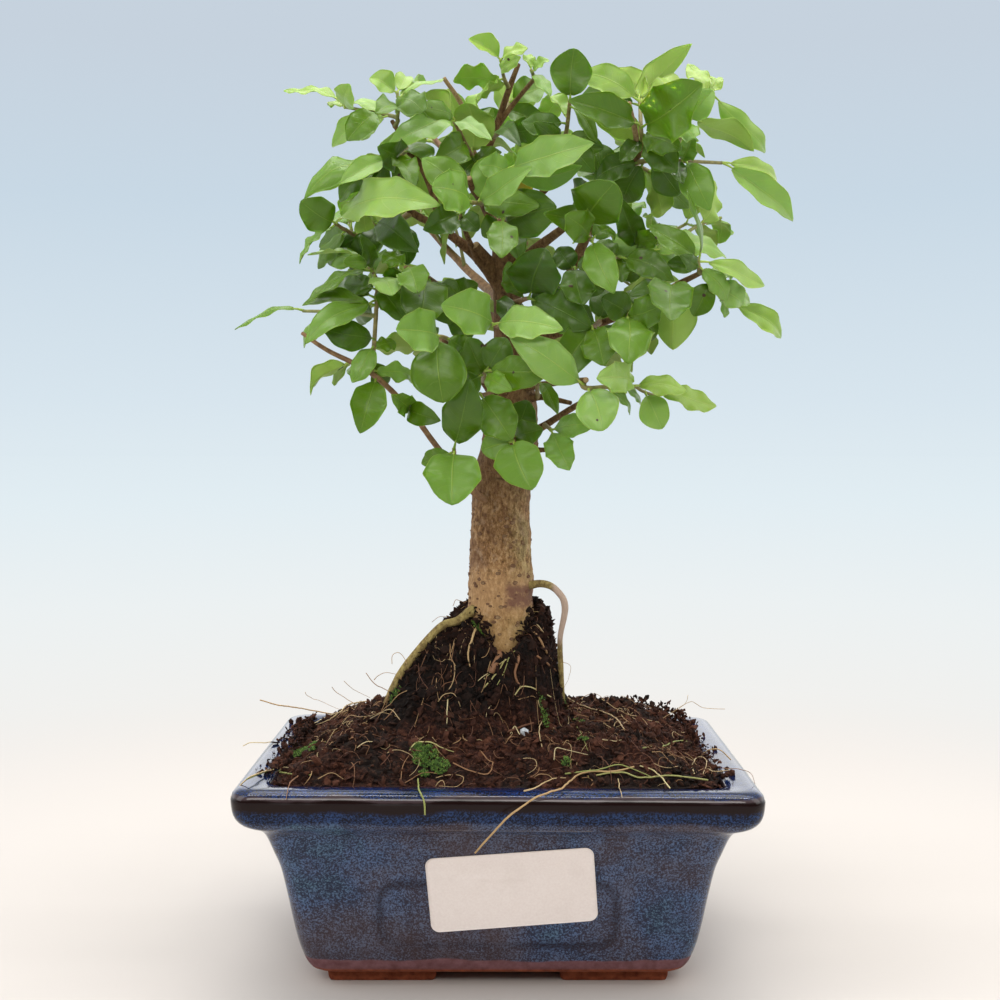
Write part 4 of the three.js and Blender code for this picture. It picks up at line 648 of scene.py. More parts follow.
peat_colour = blend_colour(peat_tree, peat_share, peat_dark, peat_red)
red_crumb = times(peat_tree, crumb_tone, 0.55)
peat_colour = blend_colour(peat_tree, red_crumb, peat_colour, (0.15, 0.055, 0.03))
peat_colour = blend_colour(peat_tree, root_ball, peat_colour, (0.004, 0.0028, 0.0022))
feed(peat_tree, peat_shader, Base_Color=peat_colour,
     bump=sum_of(peat_tree, peat_fine, peat_cells), bump_distance=0.0007, bump_strength=0.9)
peat_shader.inputs["Roughness"].default_value = 0.93
peat_shader.inputs["Specular IOR Level"].default_value = 0.25
soil = mesh_piece("soil_heap", soil_points, soil_faces, peat, smooth=False)
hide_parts("soil")
loose = crumbs.piece("loose_crumbs", peat, smooth=False)

# The wood: trunk, boughs, cut stubs and the two roots that lie free of the soil, all grown as one, under thin
# tan bark with raised pale pores. Each limb is a path of places with a depth towards the viewer and a radius.
WOOD_PATHS = {
    "trunk": [[504, 700, 0, 12.5], [503, 668, 0, 11.6], [502, 640, 0, 11], [500.5, 596, 0, 10.7],
              [500.4, 537, 0, 9.6], [500.5, 488, 0, 9.3], [502, 473, 0, 9.1], [509.5, 444, 2, 8.8],
              [512, 415, 3, 8.1], [512, 390, 4, 7.3], [512, 365, 4, 6.5], [511, 340, 4, 5.6],
              [509, 315, 4, 4.9], [506, 290, 3, 4.3], [504, 268, 3, 3.8], [500, 238, 2, 2.6]],
    "left_root": [[488, 604, 4, 2.4], [470, 612, 6, 2], [457, 621, 7, 1.6], [439, 628, 8, 1.5],
                  [407, 665, 10, 1.6], [394, 687, 11, 1.6], [386, 704, 11, 1.2]],
    "loop_root": [[518, 590, 2, 2.4], [531, 585, 4, 1.9], [544, 584, 5, 1.7], [556, 590, 6, 1.6],
                  [565, 606, 7, 1.6], [560, 639, 7, 1.3], [561, 668, 7, 1.2], [562, 686, 5, 1.1],
                  [563, 700, 3, 0.9]],
    "left_bough": [[504, 288, 3, 3.4], [485, 265, 4, 2.6], [470, 250, 6, 2.1], [440, 228, 10, 1.5],
                   [412, 212, 14, 1.3], [392, 188, 18, 1]],
    "cut_stub": [[500, 240, 3, 2.4], [493, 223, 12, 1.5], [482, 203, 26, 1.2], [473, 190, 40, 1.1],
                 [469, 178, 46, 1]],
    "middle_bough": [[503, 252, 3, 2.6], [506, 226, 6, 1.7], [531, 204, 12, 1.5], [545, 190, 18, 1.3],
                     [557, 176, 26, 1.2]],
    "right_bough": [[510, 276, 3, 2.8], [531, 253, 8, 2], [561, 230, 18, 1.5], [580, 215, 26, 1.2]],
    "knob_right": [[508, 262, 3, 3], [518, 250, 6, 2.8], [524, 242, 9, 2.4]],
    "knob_left": [[492, 266, 3, 3], [482, 254, 7, 2.6], [475, 245, 10, 2.3]],
    "tall_right": [[522, 338, 3, 3.6], [548, 316, 4, 2.6], [565, 293, 5, 2.2], [573, 267, 7, 2],
                   [584, 242, 10, 1.8], [592, 224, 14, 1.7], [604, 200, 20, 1.5], [617, 183, 26, 1.4],
                   [631, 167, 30, 1.3], [643, 146, 35, 1.1]],
    "pale_stub": [[637, 157, 31, 1.1], [636, 136, 40, 1], [629, 103, 50, 0.8]],
    "side_twig": [[578, 256, 8, 1.8], [596, 262, 14, 1.3], [620, 257, 22, 1.1], [639, 244, 31, 0.9]],
    "long_right": [[520, 346, 4, 2.8], [556, 334, 8, 1.6], [595, 325, 16, 1.3], [630, 312, 28, 1.2],
                   [656, 299, 34, 1.1], [671, 288, 38, 1.1], [690, 278, 41, 1], [707, 270, 44, 0.8]],
    "lower_right": [[516, 438, 4, 2.8], [540, 428, 9, 1.5], [574, 407, 20, 1.1], [590, 398, 24, 0.9]],
    "thin_right": [[516, 402, 4, 2.4], [540, 397, 10, 1.2], [571, 403, 16, 0.8]],
    "cut_end": [[516, 388, 4, 2.6], [548, 384, 22, 1.6], [570, 381, 40, 1.4], [586, 380, 56, 1.3]],
    "left_fork": [[510, 402, 4, 3], [496, 396, 10, 2], [485, 382, 18, 1.8], [469, 359, 27, 1.6],
                  [459, 346, 33, 1.4], [444, 340, 38, 1.1]],
    "leader": [[502, 252, 3, 2.8], [494, 225, -2, 2.1], [482, 200, -5, 1.8], [478, 180, -6, 1.7],
               [483, 162, -6, 1.6], [495, 131, -4, 1.4], [508, 92, -2, 1.2], [518.5, 64, 0, 0.9]],
    "leader_stub": [[498, 124, -4, 1.2], [519, 97, 0, 0.9], [537, 76, 4, 0.8]],
    "left_upper": [[446, 232, 9, 1.7], [437, 210, 14, 1.4], [431, 188, 18, 1.3], [419, 163, 21, 1.2],
                   [407, 150, 22, 1], [400, 135, 22, 0.9], [392, 121, 21, 0.8]],
    "pale_twig": [[480, 172, -6, 1.4], [470, 140, 0, 1], [462, 106, 6, 0.9], [444, 78, 9, 0.8]],
    "small_stub": [[528, 450, 4, 1.6], [540, 450, 10, 1], [551, 449, 14, 0.7]],
    "dark_twig": [[478, 262, 6, 1.6], [469, 240, 12, 1.3], [460, 219, 20, 1]],
}
FREE_ENDS = ("cut_stub", "knob_right", "knob_left", "pale_stub", "side_twig", "cut_end", "leader_stub",
             "pale_twig", "small_stub", "dark_twig")
ROOT_SLIM = {"loop_root": 0.68, "left_root": 0.84}
KNOBS = ("knob_right", "knob_left", "dark_twig", "cut_end")
PALE_WOOD = ("left_root", "loop_root", "pale_stub", "pale_twig")
TRUNK_SIDES = 56
BOUGH_SIDES = 14
PORES = 700


def limb_skin(path, sides, step, rough, collar=0.0, seed=0.0):
    """Points and faces of one tapering limb along a path of picture places."""
    steps = curve_through([(*place(x, y, depth), radius) for x, y, depth, radius in path], step)
    return tube_skin(steps[:, :3], steps[:, 3], sides, rough, collar, seed)


def tube_skin(centres, radii, sides, rough, collar=0.0, seed=0.0):
    """A tube with an uneven, slightly knobbly skin, a swollen start and a rounded end."""
    run = np.concatenate([[0], np.cumsum(np.linalg.norm(np.diff(centres, axis=0), axis=1))])
    way = (centres[-1] - centres[-2]) / np.linalg.norm(centres[-1] - centres[-2])
    centres = np.vstack([centres, centres[-1] + way * radii[-1] * 0.3])
    radii = np.append(radii, radii[-1] * 0.6)
    run = np.append(run, run[-1] + 0.1)
    lean = np.array([0.31, 0.87, 0.38])
    points = []
    angles = math.tau * np.arange(sides) / sides
    for i, centre in enumerate(centres):
        along = centres[min(i + 1, len(centres) - 1)] - centres[max(i - 1, 0)]
        along = along / np.linalg.norm(along)
        lean = lean - along * lean.dot(along)
        lean /= np.linalg.norm(lean)
        across = np.cross(along, lean)
        swell = radii[i] * (1 + collar * math.exp(-run[i] / (2.2 * radii[0])))
        for angle in angles:
            way = lean * math.cos(angle) + across * math.sin(angle)
            spot = centre + way * radii[i]
            lumps = noise.noise((way[0] * 1.3 + seed, way[1] * 1.3 + run[i] * 0.09,
                                 way[2] * 1.3 + run[i] * 0.05))
            fine = noise.noise((spot[0] * 1.1 + seed, spot[1] * 1.1, spot[2] * 0.45))
            points.append(centre + way * swell * (1 + rough * (0.11 * lumps + 0.05 * fine)))
    faces = quads_between(len(centres), sides)
    faces.append(tuple(range(sides))[::-1])
    faces.append(tuple(len(points) - sides + i for i in range(sides)))
    return points, faces


wood = Heap()
for index, (wood_name, path) in enumerate(WOOD_PATHS.items()):
    if wood_name == "trunk":
        points, faces = limb_skin(path, TRUNK_SIDES, 1.1, 0.9, seed=1.7)
    else:
        slim = 0.62 if wood_name in KNOBS else ROOT_SLIM[wood_name] if wood_name in ROOT_SLIM else 0.84
        path = [[x, y, depth, radius * slim] for x, y, depth, radius in path]
        points, faces = limb_skin(path, BOUGH_SIDES, 0.9, 1.0, collar=0.2, seed=index * 3.1)
    wood.add(points, faces, 3 if wood_name in ROOT_SLIM else 0.8 if wood_name in PALE_WOOD else 0.0)
    if wood_name == "trunk":
        trunk_skin = BVHTree.FromPolygons([tuple(p) for p in points], faces)
    if wood_name in FREE_ENDS:
        for k in range(BOUGH_SIDES + 1):
            wood.shades[-1 - k] = 1.0
pore_draw = random.Random(7)
trunk_steps = curve_through([(*place(x, y, depth), radius) for x, y, depth, radius in WOOD_PATHS["trunk"]], 1)
for k in range(PORES):
    low_one = k % 5 == 0
    stretch = (22, 62) if low_one else (20, len(trunk_steps) - 30)
    centre = trunk_steps[int(pore_draw.uniform(*stretch))]
    turn = pore_draw.uniform(0, math.tau)
    way = np.array([math.cos(turn), math.sin(turn), 0])
    size = pore_draw.uniform(0.45, 0.95) if low_one else pore_draw.uniform(0.12, 0.4)
    outside = centre[:3] + way * 30 + (0, 0, pore_draw.uniform(-0.5, 0.5))
    met = trunk_skin.ray_cast(tuple(outside), tuple(-way))
    if met[0] is None:
        continue
    spot, way = np.array(met[0]), np.array(met[1])
    side = np.cross(way, (0, 0, 1))
    ring = [spot - way * 0.15 + side * size * 1.25 * math.cos(a) + np.array([0, 0, size * 0.8 * math.sin(a)])
            for a in np.arange(8) * math.tau / 8]
    lip = [spot + way * (0.12 + 0.32 * size) + (p - spot) * 0.62 for p in ring]
    dip = [spot + way * (0.1 + 0.22 * size) + (p - spot) * 0.3 for p in ring]
    # The ring round each pore is coloured dark: its own darker rim and a painted shadow round the raised pore.
    wood.add(ring + lip, quads_between(2, 8), 1.75)
    wood.add(lip + dip, quads_between(2, 8) + [tuple(range(8, 16))], pore_draw.uniform(1.35, 1.75))

bark, bark_tree, bark_shader = principled("tan_bark")
on_bark = node(bark_tree, "ShaderNodeTexCoord").outputs["Object"]
bark_long = node(bark_tree, "ShaderNodeMapping", {"Vector": on_bark, "Scale": (1, 1, 0.55)})
bark_patch = grain(bark_tree, on_bark, 75, 4, 0.65)
bark_streak = grain(bark_tree, bark_long.outputs["Vector"], 900, 5, 0.75)
bark_base = ramp(bark_tree, bark_streak, [(0.36, (0.09, 0.038, 0.012)), (0.5, (0.32, 0.168, 0.066)),
                                          (0.64, (0.56, 0.36, 0.18))])
bark_mossy = ramp(bark_tree, bark_streak, [(0.36, (0.17, 0.125, 0.035)), (0.64, (0.56, 0.48, 0.23))])
bark_x = node(bark_tree, "ShaderNodeSeparateXYZ", {"Vector": on_bark}).outputs
right_side = between(bark_tree, bark_x["X"], POT_X / 1000 + 0.001, POT_X / 1000 + 0.009, 0, 0.75)
mossy_share = times(bark_tree, right_side, between(bark_tree, bark_patch, 0.35, 0.6))
bark_colour = blend_colour(bark_tree, mossy_share, bark_base, bark_mossy)
bark_dark = between(bark_tree, bark_patch, 0.52, 0.68, 0.0, 0.55)
bark_colour = blend_colour(bark_tree, bark_dark, bark_colour, (0.12, 0.055, 0.035))
bark_speckle = grain(bark_tree, on_bark, 340, 4, 0.7)
bark_colour = blend_colour(bark_tree, between(bark_tree, bark_speckle, 0.53, 0.64, 0.0, 0.5), bark_colour,
                           (0.15, 0.07, 0.045))
bark_colour = blend_colour(bark_tree, between(bark_tree, bark_speckle, 0.34, 0.46, 0.4, 0.0), bark_colour,
                           (0.56, 0.4, 0.26))
low_down = between(bark_tree, bark_x["Z"], 0.1, 0.12, 0.5, 0.0)
bark_colour = blend_colour(bark_tree, low_down, bark_colour, (0.44, 0.28, 0.11))
worn_band = times(bark_tree, between(bark_tree, bark_x["Z"], 0.106, 0.112),
                   between(bark_tree, bark_x["Z"], 0.118, 0.127, 0.45, 0.0))
bark_colour = blend_colour(bark_tree, worn_band, bark_colour, (0.54, 0.33, 0.16))
# Higher up, among and beneath the crown, the bark turns dark: partly younger bark, partly painted shade.
high_up = between(bark_tree, bark_x["Z"], 0.122, 0.162, 0.0, 0.86)
bark_young_and_shade = ramp(bark_tree, bark_streak, [(0.3, (0.038, 0.018, 0.008)), (0.7, (0.19, 0.1, 0.04))])
bark_colour = blend_colour(bark_tree, high_up, bark_colour, bark_young_and_shade)
wood_shade = node(bark_tree, "ShaderNodeAttribute", attribute_name="shade").outputs["Fac"]
pale_colour = ramp(bark_tree, bark_streak, [(0.3, (0.2, 0.12, 0.05)), (0.7, (0.48, 0.34, 0.18))])
bark_colour = blend_colour(bark_tree, between(bark_tree, wood_shade, 0, 1), bark_colour, pale_colour)
# Shades from 1 to 2 turn dark red-brown: the pores, whose dark rings are partly painted shadow.
bark_colour = blend_colour(bark_tree, between(bark_tree, wood_shade, 1, 2), bark_colour, (0.12, 0.05, 0.03))
scar = between(bark_tree, bark_speckle, 0.36, 0.52, 0.2, 0.85)
for edge in (between(bark_tree, bark_x["X"], POT_X / 1000 + 0.001, POT_X / 1000 + 0.004),
             between(bark_tree, bark_x["Z"], 0.109, 0.112),
             between(bark_tree, bark_x["Z"], 0.1165, 0.12, 1.0, 0.0)):
    scar = times(bark_tree, scar, edge)
bark_colour = blend_colour(bark_tree, scar, bark_colour, (0.17, 0.075, 0.055))
root_yellow = ramp(bark_tree, bark_streak, [(0.3, (0.16, 0.1, 0.03)), (0.7, (0.5, 0.4, 0.15))])
root_fleck = between(bark_tree, bark_speckle, 0.48, 0.6, 0.0, 0.7)
root_yellow = blend_colour(bark_tree, root_fleck, root_yellow, (0.12, 0.075, 0.03))
bleached = times(bark_tree, between(bark_tree, bark_x["X"], POT_X / 1000 + 0.0165, POT_X / 1000 + 0.0185),
                  between(bark_tree, bark_x["Z"], 0.097, 0.102))
root_yellow = blend_colour(bark_tree, bleached, root_yellow, (0.5, 0.37, 0.29))
bark_colour = blend_colour(bark_tree, between(bark_tree, wood_shade, 2.5, 3), bark_colour, root_yellow)
feed(bark_tree, bark_shader, Base_Color=bark_colour,
     bump=sum_of(bark_tree, bark_streak, times(bark_tree, bark_patch, 0.6)),
     bump_distance=0.0006, bump_strength=0.8)
bark_shader.inputs["Roughness"].default_value = 0.78
bark_shader.inputs["Specular IOR Level"].default_value = 0.25
trunk = wood.piece("trunk_and_boughs", bark)
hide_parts("trunk")

# Twigs and leaves: each spray is one side shoot of privet, a thin twig with leaves in pairs. Its stems are
# paths with a depth and a radius. Its tips are the ends of leaves with an age, from 0 for new yellow-green
# growth to 1 for old dark leaves, and more for one that is turning. These values follow how light or dark each
# leaf looks, so the high ones on leaves inside the crown are partly painted shade, and those of 0.22 to 0.26 on
# the pale front leaves are partly a painted sheen. A leaf takes the age of the nearest tip.
SPRAYS = {
    "left_low": {
        "stems": [[[498, 506, 4, 1.7], [474, 492, 10, 1.5], [438, 448, 18, 1.2], [407, 407, 24, 1.1],
                   [371, 373, 28, 1.1], [327, 350, 30, 0.9], [302, 333, 30, 0.7]],
                  [[371, 373, 28, 1], [374, 345, 26, 0.9], [377, 294, 22, 0.8], [377, 280, 20, 0.7],
                   [367, 262, 20, 0.6]],
                  [[376, 316, 24, 0.8], [340, 312, 12, 0.7], [303, 311, 2, 0.6]],
                  [[460, 474, 14, 1], [455, 464, 24, 0.9], [454, 449, 36, 0.8]]],
        "tips": [[361, 430, 0.5], [393, 396, 0.5], [436, 419, 0.6], [387, 388, 0.6], [307, 393, 0.15],
                 [333, 384, 0.2], [346, 371, 0.4], [326, 329, 0.9], [298, 346, 0.35], [302, 303, 0.55],
                 [233, 327, 0.42], [344, 283, 0.9], [306, 297, 0.6], [392, 293, 0.2], [343, 262, 0.5],
                 [307, 254, 0.25], [363, 240, 0.7], [385, 248, 0.3], [396, 300, 0.6], [396, 340, 0.5],
                 [452, 505, 0.4], [470, 378, 0.85], [421, 464, 0.6], [318, 252, 0.5], [404, 318, 0.8],
                 [350, 386, 0.25], [404, 376, 0.3], [326, 284, 0.5], [316, 330, 0.3], [345, 326, 0.9],
                 [306, 340, 0.35]],
    },
    "left_round": {
        "stems": [[[459, 346, 33, 0.9], [446, 338, 44, 0.8], [437, 336, 48, 0.7]]],
        "tips": [[443, 402, 0.6], [397, 329, 0.2], [470, 352, 0.7]],
    },
    "left_inner": {
        "stems": [[[466, 306, 2, 1.2], [440, 286, 12, 1], [418, 271, 28, 0.8], [405, 267, 34, 0.7]]],
        "tips": [[419, 297, 0.35], [420, 331, 0.75], [459, 302, 0.8], [398, 316, 0.85], [384, 252, 0.6],
                 [452, 326, 0.8], [466, 342, 0.8], [396, 304, 0.85], [478, 284, 0.7]],
    },
    "left_far": {
        "stems": [[[412, 212, 14, 1.2], [390, 226, 8, 1], [362, 236, 8, 0.9], [344, 229, 16, 0.8],
                   [335, 223, 24, 0.7]],
                  [[380, 230, 8, 0.9], [374, 221, 22, 0.7]]],
        "tips": [[301, 201, 0.6], [433, 201, 0.1], [298, 263, 0.4], [324, 273, 0.7], [340, 252, 0.9],
                 [414, 249, 0.85], [364, 254, 0.85], [348, 200, 0.8], [408, 264, 0.9], [350, 268, 0.85],
                 [318, 246, 0.8]],
    },
    "left_top": {
        "stems": [[[407, 150, 22, 0.9], [397, 157, 28, 0.8], [387, 160, 34, 0.7]]],
        "tips": [[304, 190, 0.35], [346, 172, 0.2], [340, 183, 0.25], [367, 142, 0.95], [338, 201, 0.7],
                 [416, 182, 0.7], [372, 196, 0.85], [412, 192, 0.8], [434, 148, 0.6]],
    },
    "left_tip": {
        "stems": [[[395, 127, 21, 0.8], [397, 118, 24, 0.8], [377, 113, 20, 0.7], [345, 107, 14, 0.6]],
                  [[397, 118, 24, 0.7], [399, 105, 28, 0.7], [397, 92, 28, 0.6]]],
        "tips": [[283, 87, 0.05], [350, 84, 0.05], [330, 104, 0.05], [350, 103, 0.1], [348, 139, 0.45],
                 [331, 147, 0.15], [352, 141, 0.1], [370, 77, 0.05], [406, 76, 0.1], [424, 112, 0.75],
                 [377, 111, 0.5], [443, 76, 0.15]],
    },
    "upper_left": {
        "stems": [[[481, 170, -6, 1.2], [468, 150, 6, 1], [456, 124, 16, 0.8], [449, 114, 20, 0.7]]],
        "tips": [[423, 96, 0.1], [422, 107, 0.6], [402, 137, 0.3], [490, 135, 0.35], [468, 102, 0.35],
                 [438, 153, 0.6], [500, 152, 0.7], [430, 164, 0.6], [452, 192, 0.7], [494, 178, 0.8]],
    },
    "front_top": {
        "stems": [[[482, 203, 26, 1], [477, 203, 44, 0.8], [469, 202, 54, 0.7]]],
        "tips": [[422, 158, 0.45], [433, 187, 0.25], [472, 178, 0.24], [521, 172, 0.22], [498, 155, 0.35],
                 [527, 203, 0.5]],
    },
    "front_crest": {
        "stems": [[[520, 212, 10, 1.1], [514, 192, 30, 0.9], [508, 170, 44, 0.7]]],
        "tips": [[588, 141, 0.26], [582, 166, 0.35], [528, 166, 1.2], [480, 165, 0.3]],
    },
    "crest": {
        "stems": [[[509, 88, -2, 0.9], [504, 78, 4, 0.8], [501, 61, 9, 0.6]]],
        "tips": [[469, 38, 0.02], [526, 46, 0.02], [453, 80, 0.15], [478, 99, 0.2], [520, 57, 0.1]],
    },
    "crest_back": {
        "stems": [[[500, 118, -4, 0.9], [506, 108, -14, 0.8], [512, 98, -20, 0.7]]],
        "tips": [[536, 102, 0.2], [496, 84, 0.25], [545, 120, 0.6], [478, 134, 0.45], [544, 84, 0.5]],
    },
    "crest_low": {
        "stems": [[[494, 136, -4, 1], [498, 134, 8, 0.8], [502, 132, 14, 0.7]]],
        "tips": [[547, 124, 0.85], [540, 145, 0.9]],
    },
    "stub_shoot": {
        "stems": [[[534, 80, 3, 0.8], [533, 74, 7, 0.7], [531, 70, 9, 0.6]]],
        "tips": [[527, 54, 0.1], [549, 60, 0.1], [552, 92, 0.2]],
    },
    "top_right": {
        "stems": [[[557, 176, 26, 1], [562, 150, 30, 0.9], [567, 128, 36, 0.8], [570, 100, 44, 0.7]]],
        "tips": [[574, 48, 0.7], [545, 97, 0.15], [521, 122, 0.9], [537, 124, 0.8], [600, 140, 0.6],
                 [604, 148, 0.7], [538, 184, 0.85], [592, 170, 0.8]],
    },
    "right_crown": {
        "stems": [[[643, 146, 35, 0.9], [641, 128, 44, 0.8], [640, 101, 38, 0.7]]],
        "tips": [[702, 84, 0.5], [571, 99, 0.75], [594, 113, 0.5], [578, 70, 0.12], [616, 71, 0.15],
                 [664, 69, 0.15], [581, 96, 0.7], [696, 80, 0.02], [682, 150, 0.75], [620, 161, 0.9],
                 [676, 171, 0.9]],
    },
    "right_upper": {
        "stems": [[[634, 163, 31, 1], [655, 160, 36, 0.9], [683, 161, 36, 0.8], [702, 162, 31, 0.7],
                   [722, 163, 24, 0.6]],
                  [[672, 161, 36, 0.8], [682, 134, 34, 0.8], [698, 108, 28, 0.7], [711, 94, 24, 0.6]]],
        "tips": [[798, 219, 0.1], [780, 179, 0.06], [708, 206, 0.4], [692, 137, 0.3], [683, 184, 0.95],
                 [707, 151, 0.6], [754, 151, 0.15], [712, 90, 0.15], [735, 117, 0.06], [768, 153, 0.06],
                 [717, 76, 0.08], [691, 70, 0.08], [664, 192, 0.5], [626, 196, 0.8], [676, 190, 0.85],
                 [606, 174, 0.8]],
    },
    "right_mid": {
        "stems": [[[700, 273, 43, 0.9], [699, 267, 46, 0.8], [697, 258, 48, 0.7]]],
        "tips": [[687, 189, 0.75], [651, 223, 0.5], [680, 255, 0.9], [666, 264, 0.8], [766, 285, 0.15],
                 [719, 291, 0.2]],
    },
    "right_tip": {
        "stems": [[[707, 270, 44, 0.9], [711, 282, 42, 0.8], [720, 295, 36, 0.7], [730, 303, 30, 0.6]]],
        "tips": [[700, 303, 0.75], [747, 305, 0.15], [750, 303, 0.1], [785, 338, 0.08], [726, 317, 0.2],
                 [738, 282, 0.2]],
    },
    "right_inner": {
        "stems": [[[637, 245, 30, 0.8], [642, 249, 32, 0.8], [648, 252, 30, 0.7]]],
        "tips": [[729, 252, 0.1], [612, 236, 0.25], [684, 262, 0.15], [657, 240, 0.7], [625, 213, 0.9],
                 [612, 272, 0.85], [676, 230, 0.6]],
    },
    "right_fore": {
        "stems": [[[612, 259, 19, 1], [617, 259, 34, 0.8], [620, 257, 42, 0.7]]],
        "tips": [[674, 280, 0.75], [622, 282, 0.8], [598, 240, 0.7]],
    },
    "centre_right": {
        "stems": [[[570, 223, 22, 1.2], [584, 228, 40, 0.9], [592, 241, 50, 0.7]],
                  [[578, 226, 34, 0.9], [584, 222, 48, 0.7]]],
        "tips": [[612, 289, 0.3], [565, 215, 0.6], [613, 184, 0.8], [547, 214, 0.6], [610, 226, 0.75]],
    },
    "right_back": {
        "stems": [[[604, 200, 20, 0.9], [602, 188, 12, 0.8], [600, 176, 8, 0.7]]],
        "tips": [[596, 143, 0.75], [582, 166, 0.7], [624, 168, 0.7], [570, 190, 0.85], [632, 152, 0.7],
                 [590, 232, 0.85]],
    },
    "right_shade": {
        "stems": [[[631, 167, 30, 0.9], [642, 168, 26, 0.8], [650, 172, 24, 0.7]]],
        "tips": [[663, 218, 0.55], [655, 212, 0.2], [676, 182, 0.3], [618, 200, 0.8], [690, 208, 0.6]],
    },
    "centre_front": {
        "stems": [[[506, 226, 6, 1.3], [502, 224, 36, 0.9], [499, 220, 52, 0.7]]],
        "tips": [[501, 257, 0.6], [546, 210, 0.8], [515, 250, 0.8], [482, 236, 0.9]],
    },
    "centre_dark": {
        "stems": [[[512, 304, 6, 1.4], [522, 300, 26, 1], [529, 298, 36, 0.7]]],
        "tips": [[545, 250, 0.9], [509, 264, 0.85], [562, 300, 0.9], [590, 327, 0.85], [498, 332, 0.9]],
    },
    "right_dark": {
        "stems": [[[571, 275, 7, 1.2], [573, 272, 28, 0.9], [575, 268, 42, 0.7]]],
        "tips": [[583, 305, 0.85], [558, 247, 0.85], [602, 262, 0.8], [604, 292, 0.85]],
    },
    "centre_pale": {
        "stems": [[[509, 328, 9, 1.4], [502, 328, 36, 0.9], [494, 325, 54, 0.7]]],
        "tips": [[560, 325, 0.24], [442, 305, 0.24]],
    },
    "centre_low": {
        "stems": [[[484, 381, 18, 1.2], [484, 375, 36, 0.8], [486, 371, 46, 0.7]]],
        "tips": [[551, 371, 0.55], [512, 391, 0.5], [468, 339, 0.75], [507, 338, 0.75], [452, 394, 0.8]],
    },
    "trunk_left": {
        "stems": [[[492, 393, 12, 1.2], [484, 395, 26, 0.9], [480, 394, 34, 0.7]]],
        "tips": [[512, 440, 0.45]],
    },
    "trunk_front": {
        "stems": [[[512, 425, 10, 1.4], [514, 437, 26, 0.9], [513, 441, 38, 0.7]]],
        "tips": [[531, 488, 0.35], [481, 450, 0.45], [543, 429, 0.7], [528, 401, 0.85]],
    },
    "right_low": {
        "stems": [[[582, 381, 52, 1.3], [586, 388, 54, 0.9], [606, 387, 52, 0.8], [632, 386, 48, 0.7],
                   [642, 391, 44, 0.6], [655, 396, 40, 0.6]]],
        "tips": [[514, 336, 0.26], [603, 431, 0.2], [600, 378, 0.12], [687, 391, 0.15], [717, 406, 0.1],
                 [662, 429, 0.1], [612, 364, 0.5], [632, 414, 0.4], [645, 408, 0.3]],
    },
    "right_hang": {
        "stems": [[[600, 322, 17, 1.1], [596, 325, 36, 0.9], [592, 327, 44, 0.7]]],
        "tips": [[604, 366, 0.5], [583, 352, 0.65], [570, 320, 0.85], [622, 350, 0.8], [606, 288, 0.85]],
    },
    "right_round": {
        "stems": [[[630, 312, 28, 1], [629, 315, 40, 0.8], [628, 317, 48, 0.7]]],
        "tips": [[628, 356, 0.5], [662, 305, 0.65], [603, 298, 0.85], [658, 338, 0.8]],
    },
    "right_long": {
        "stems": [[[671, 288, 38, 0.9], [673, 286, 46, 0.8], [674, 285, 52, 0.7]]],
        "tips": [[669, 339, 0.7], [673, 355, 0.25], [628, 296, 0.8], [702, 322, 0.6]],
    },
    "low_pair": {
        "stems": [[[545, 425, 11, 0.9], [549, 428, 24, 0.8], [551, 430, 32, 0.7]]],
        "tips": [[594, 424, 0.3], [567, 465, 0.3]],
    },
    "thin_shoot": {
        "stems": [[[538, 397, 10, 0.9], [537, 388, 20, 0.8], [538, 382, 26, 0.7]]],
        "tips": [[559, 412, 0.5], [568, 384, 0.25]],
    },
    "dark_pair": {
        "stems": [[[464, 228, 17, 1], [461, 218, 30, 0.8], [460, 213, 36, 0.7]]],
        "tips": [[425, 229, 0.85], [443, 264, 0.2], [478, 230, 0.9]],
    },
}
BOUGHS = {
    "back_left": [[503, 300, 2, 2.6], [480, 282, -20, 1.9], [450, 252, -38, 1.5], [422, 222, -50, 1]],
    "back_top": [[503, 262, 2, 2.4], [516, 236, -22, 1.9], [528, 196, -42, 1.5], [536, 158, -52, 1]],
    "back_right": [[513, 330, 2, 2.6], [550, 300, -24, 1.9], [588, 276, -42, 1.5], [622, 252, -54, 1]],
    "back_low_left": [[505, 384, 0, 2.4], [480, 362, -26, 1.8], [452, 345, -44, 1.4], [430, 332, -56, 1]],
    "back_low_right": [[514, 372, 0, 2.4], [540, 356, -26, 1.8], [570, 342, -48, 1.3], [592, 334, -60, 1]],
    "side_right": [[520, 352, 2, 2.4], [570, 306, -14, 1.8], [630, 262, -18, 1.4], [676, 240, -18, 1]],
    "side_left": [[500, 322, 0, 2.4], [450, 300, -12, 1.8], [400, 276, -18, 1.4], [356, 256, -18, 1]],
    "crest_left": [[481, 192, -5, 1.6], [455, 165, -18, 1.3], [432, 135, -26, 1]],
    "crest_right": [[588, 232, 11, 1.6], [612, 190, -8, 1.3], [640, 145, -16, 1]],
    "deep_back": [[508, 280, 1, 2.2], [512, 262, -30, 1.8], [516, 246, -54, 1.3], [518, 232, -66, 1]],
}
LEAF_THICK = 0.7
STALK_SHARE = 0.1
NARROW_AT = (0.7, 0.34)
BROAD_AT = (0.8, 0.55, 0.28)
SHOOT_SEED = 20261
SHOOT_TRIES = 14
CROWN_MIDDLE = np.array([POT_X + 5, POT_Y, 220])
TWIG_SIDES = 8
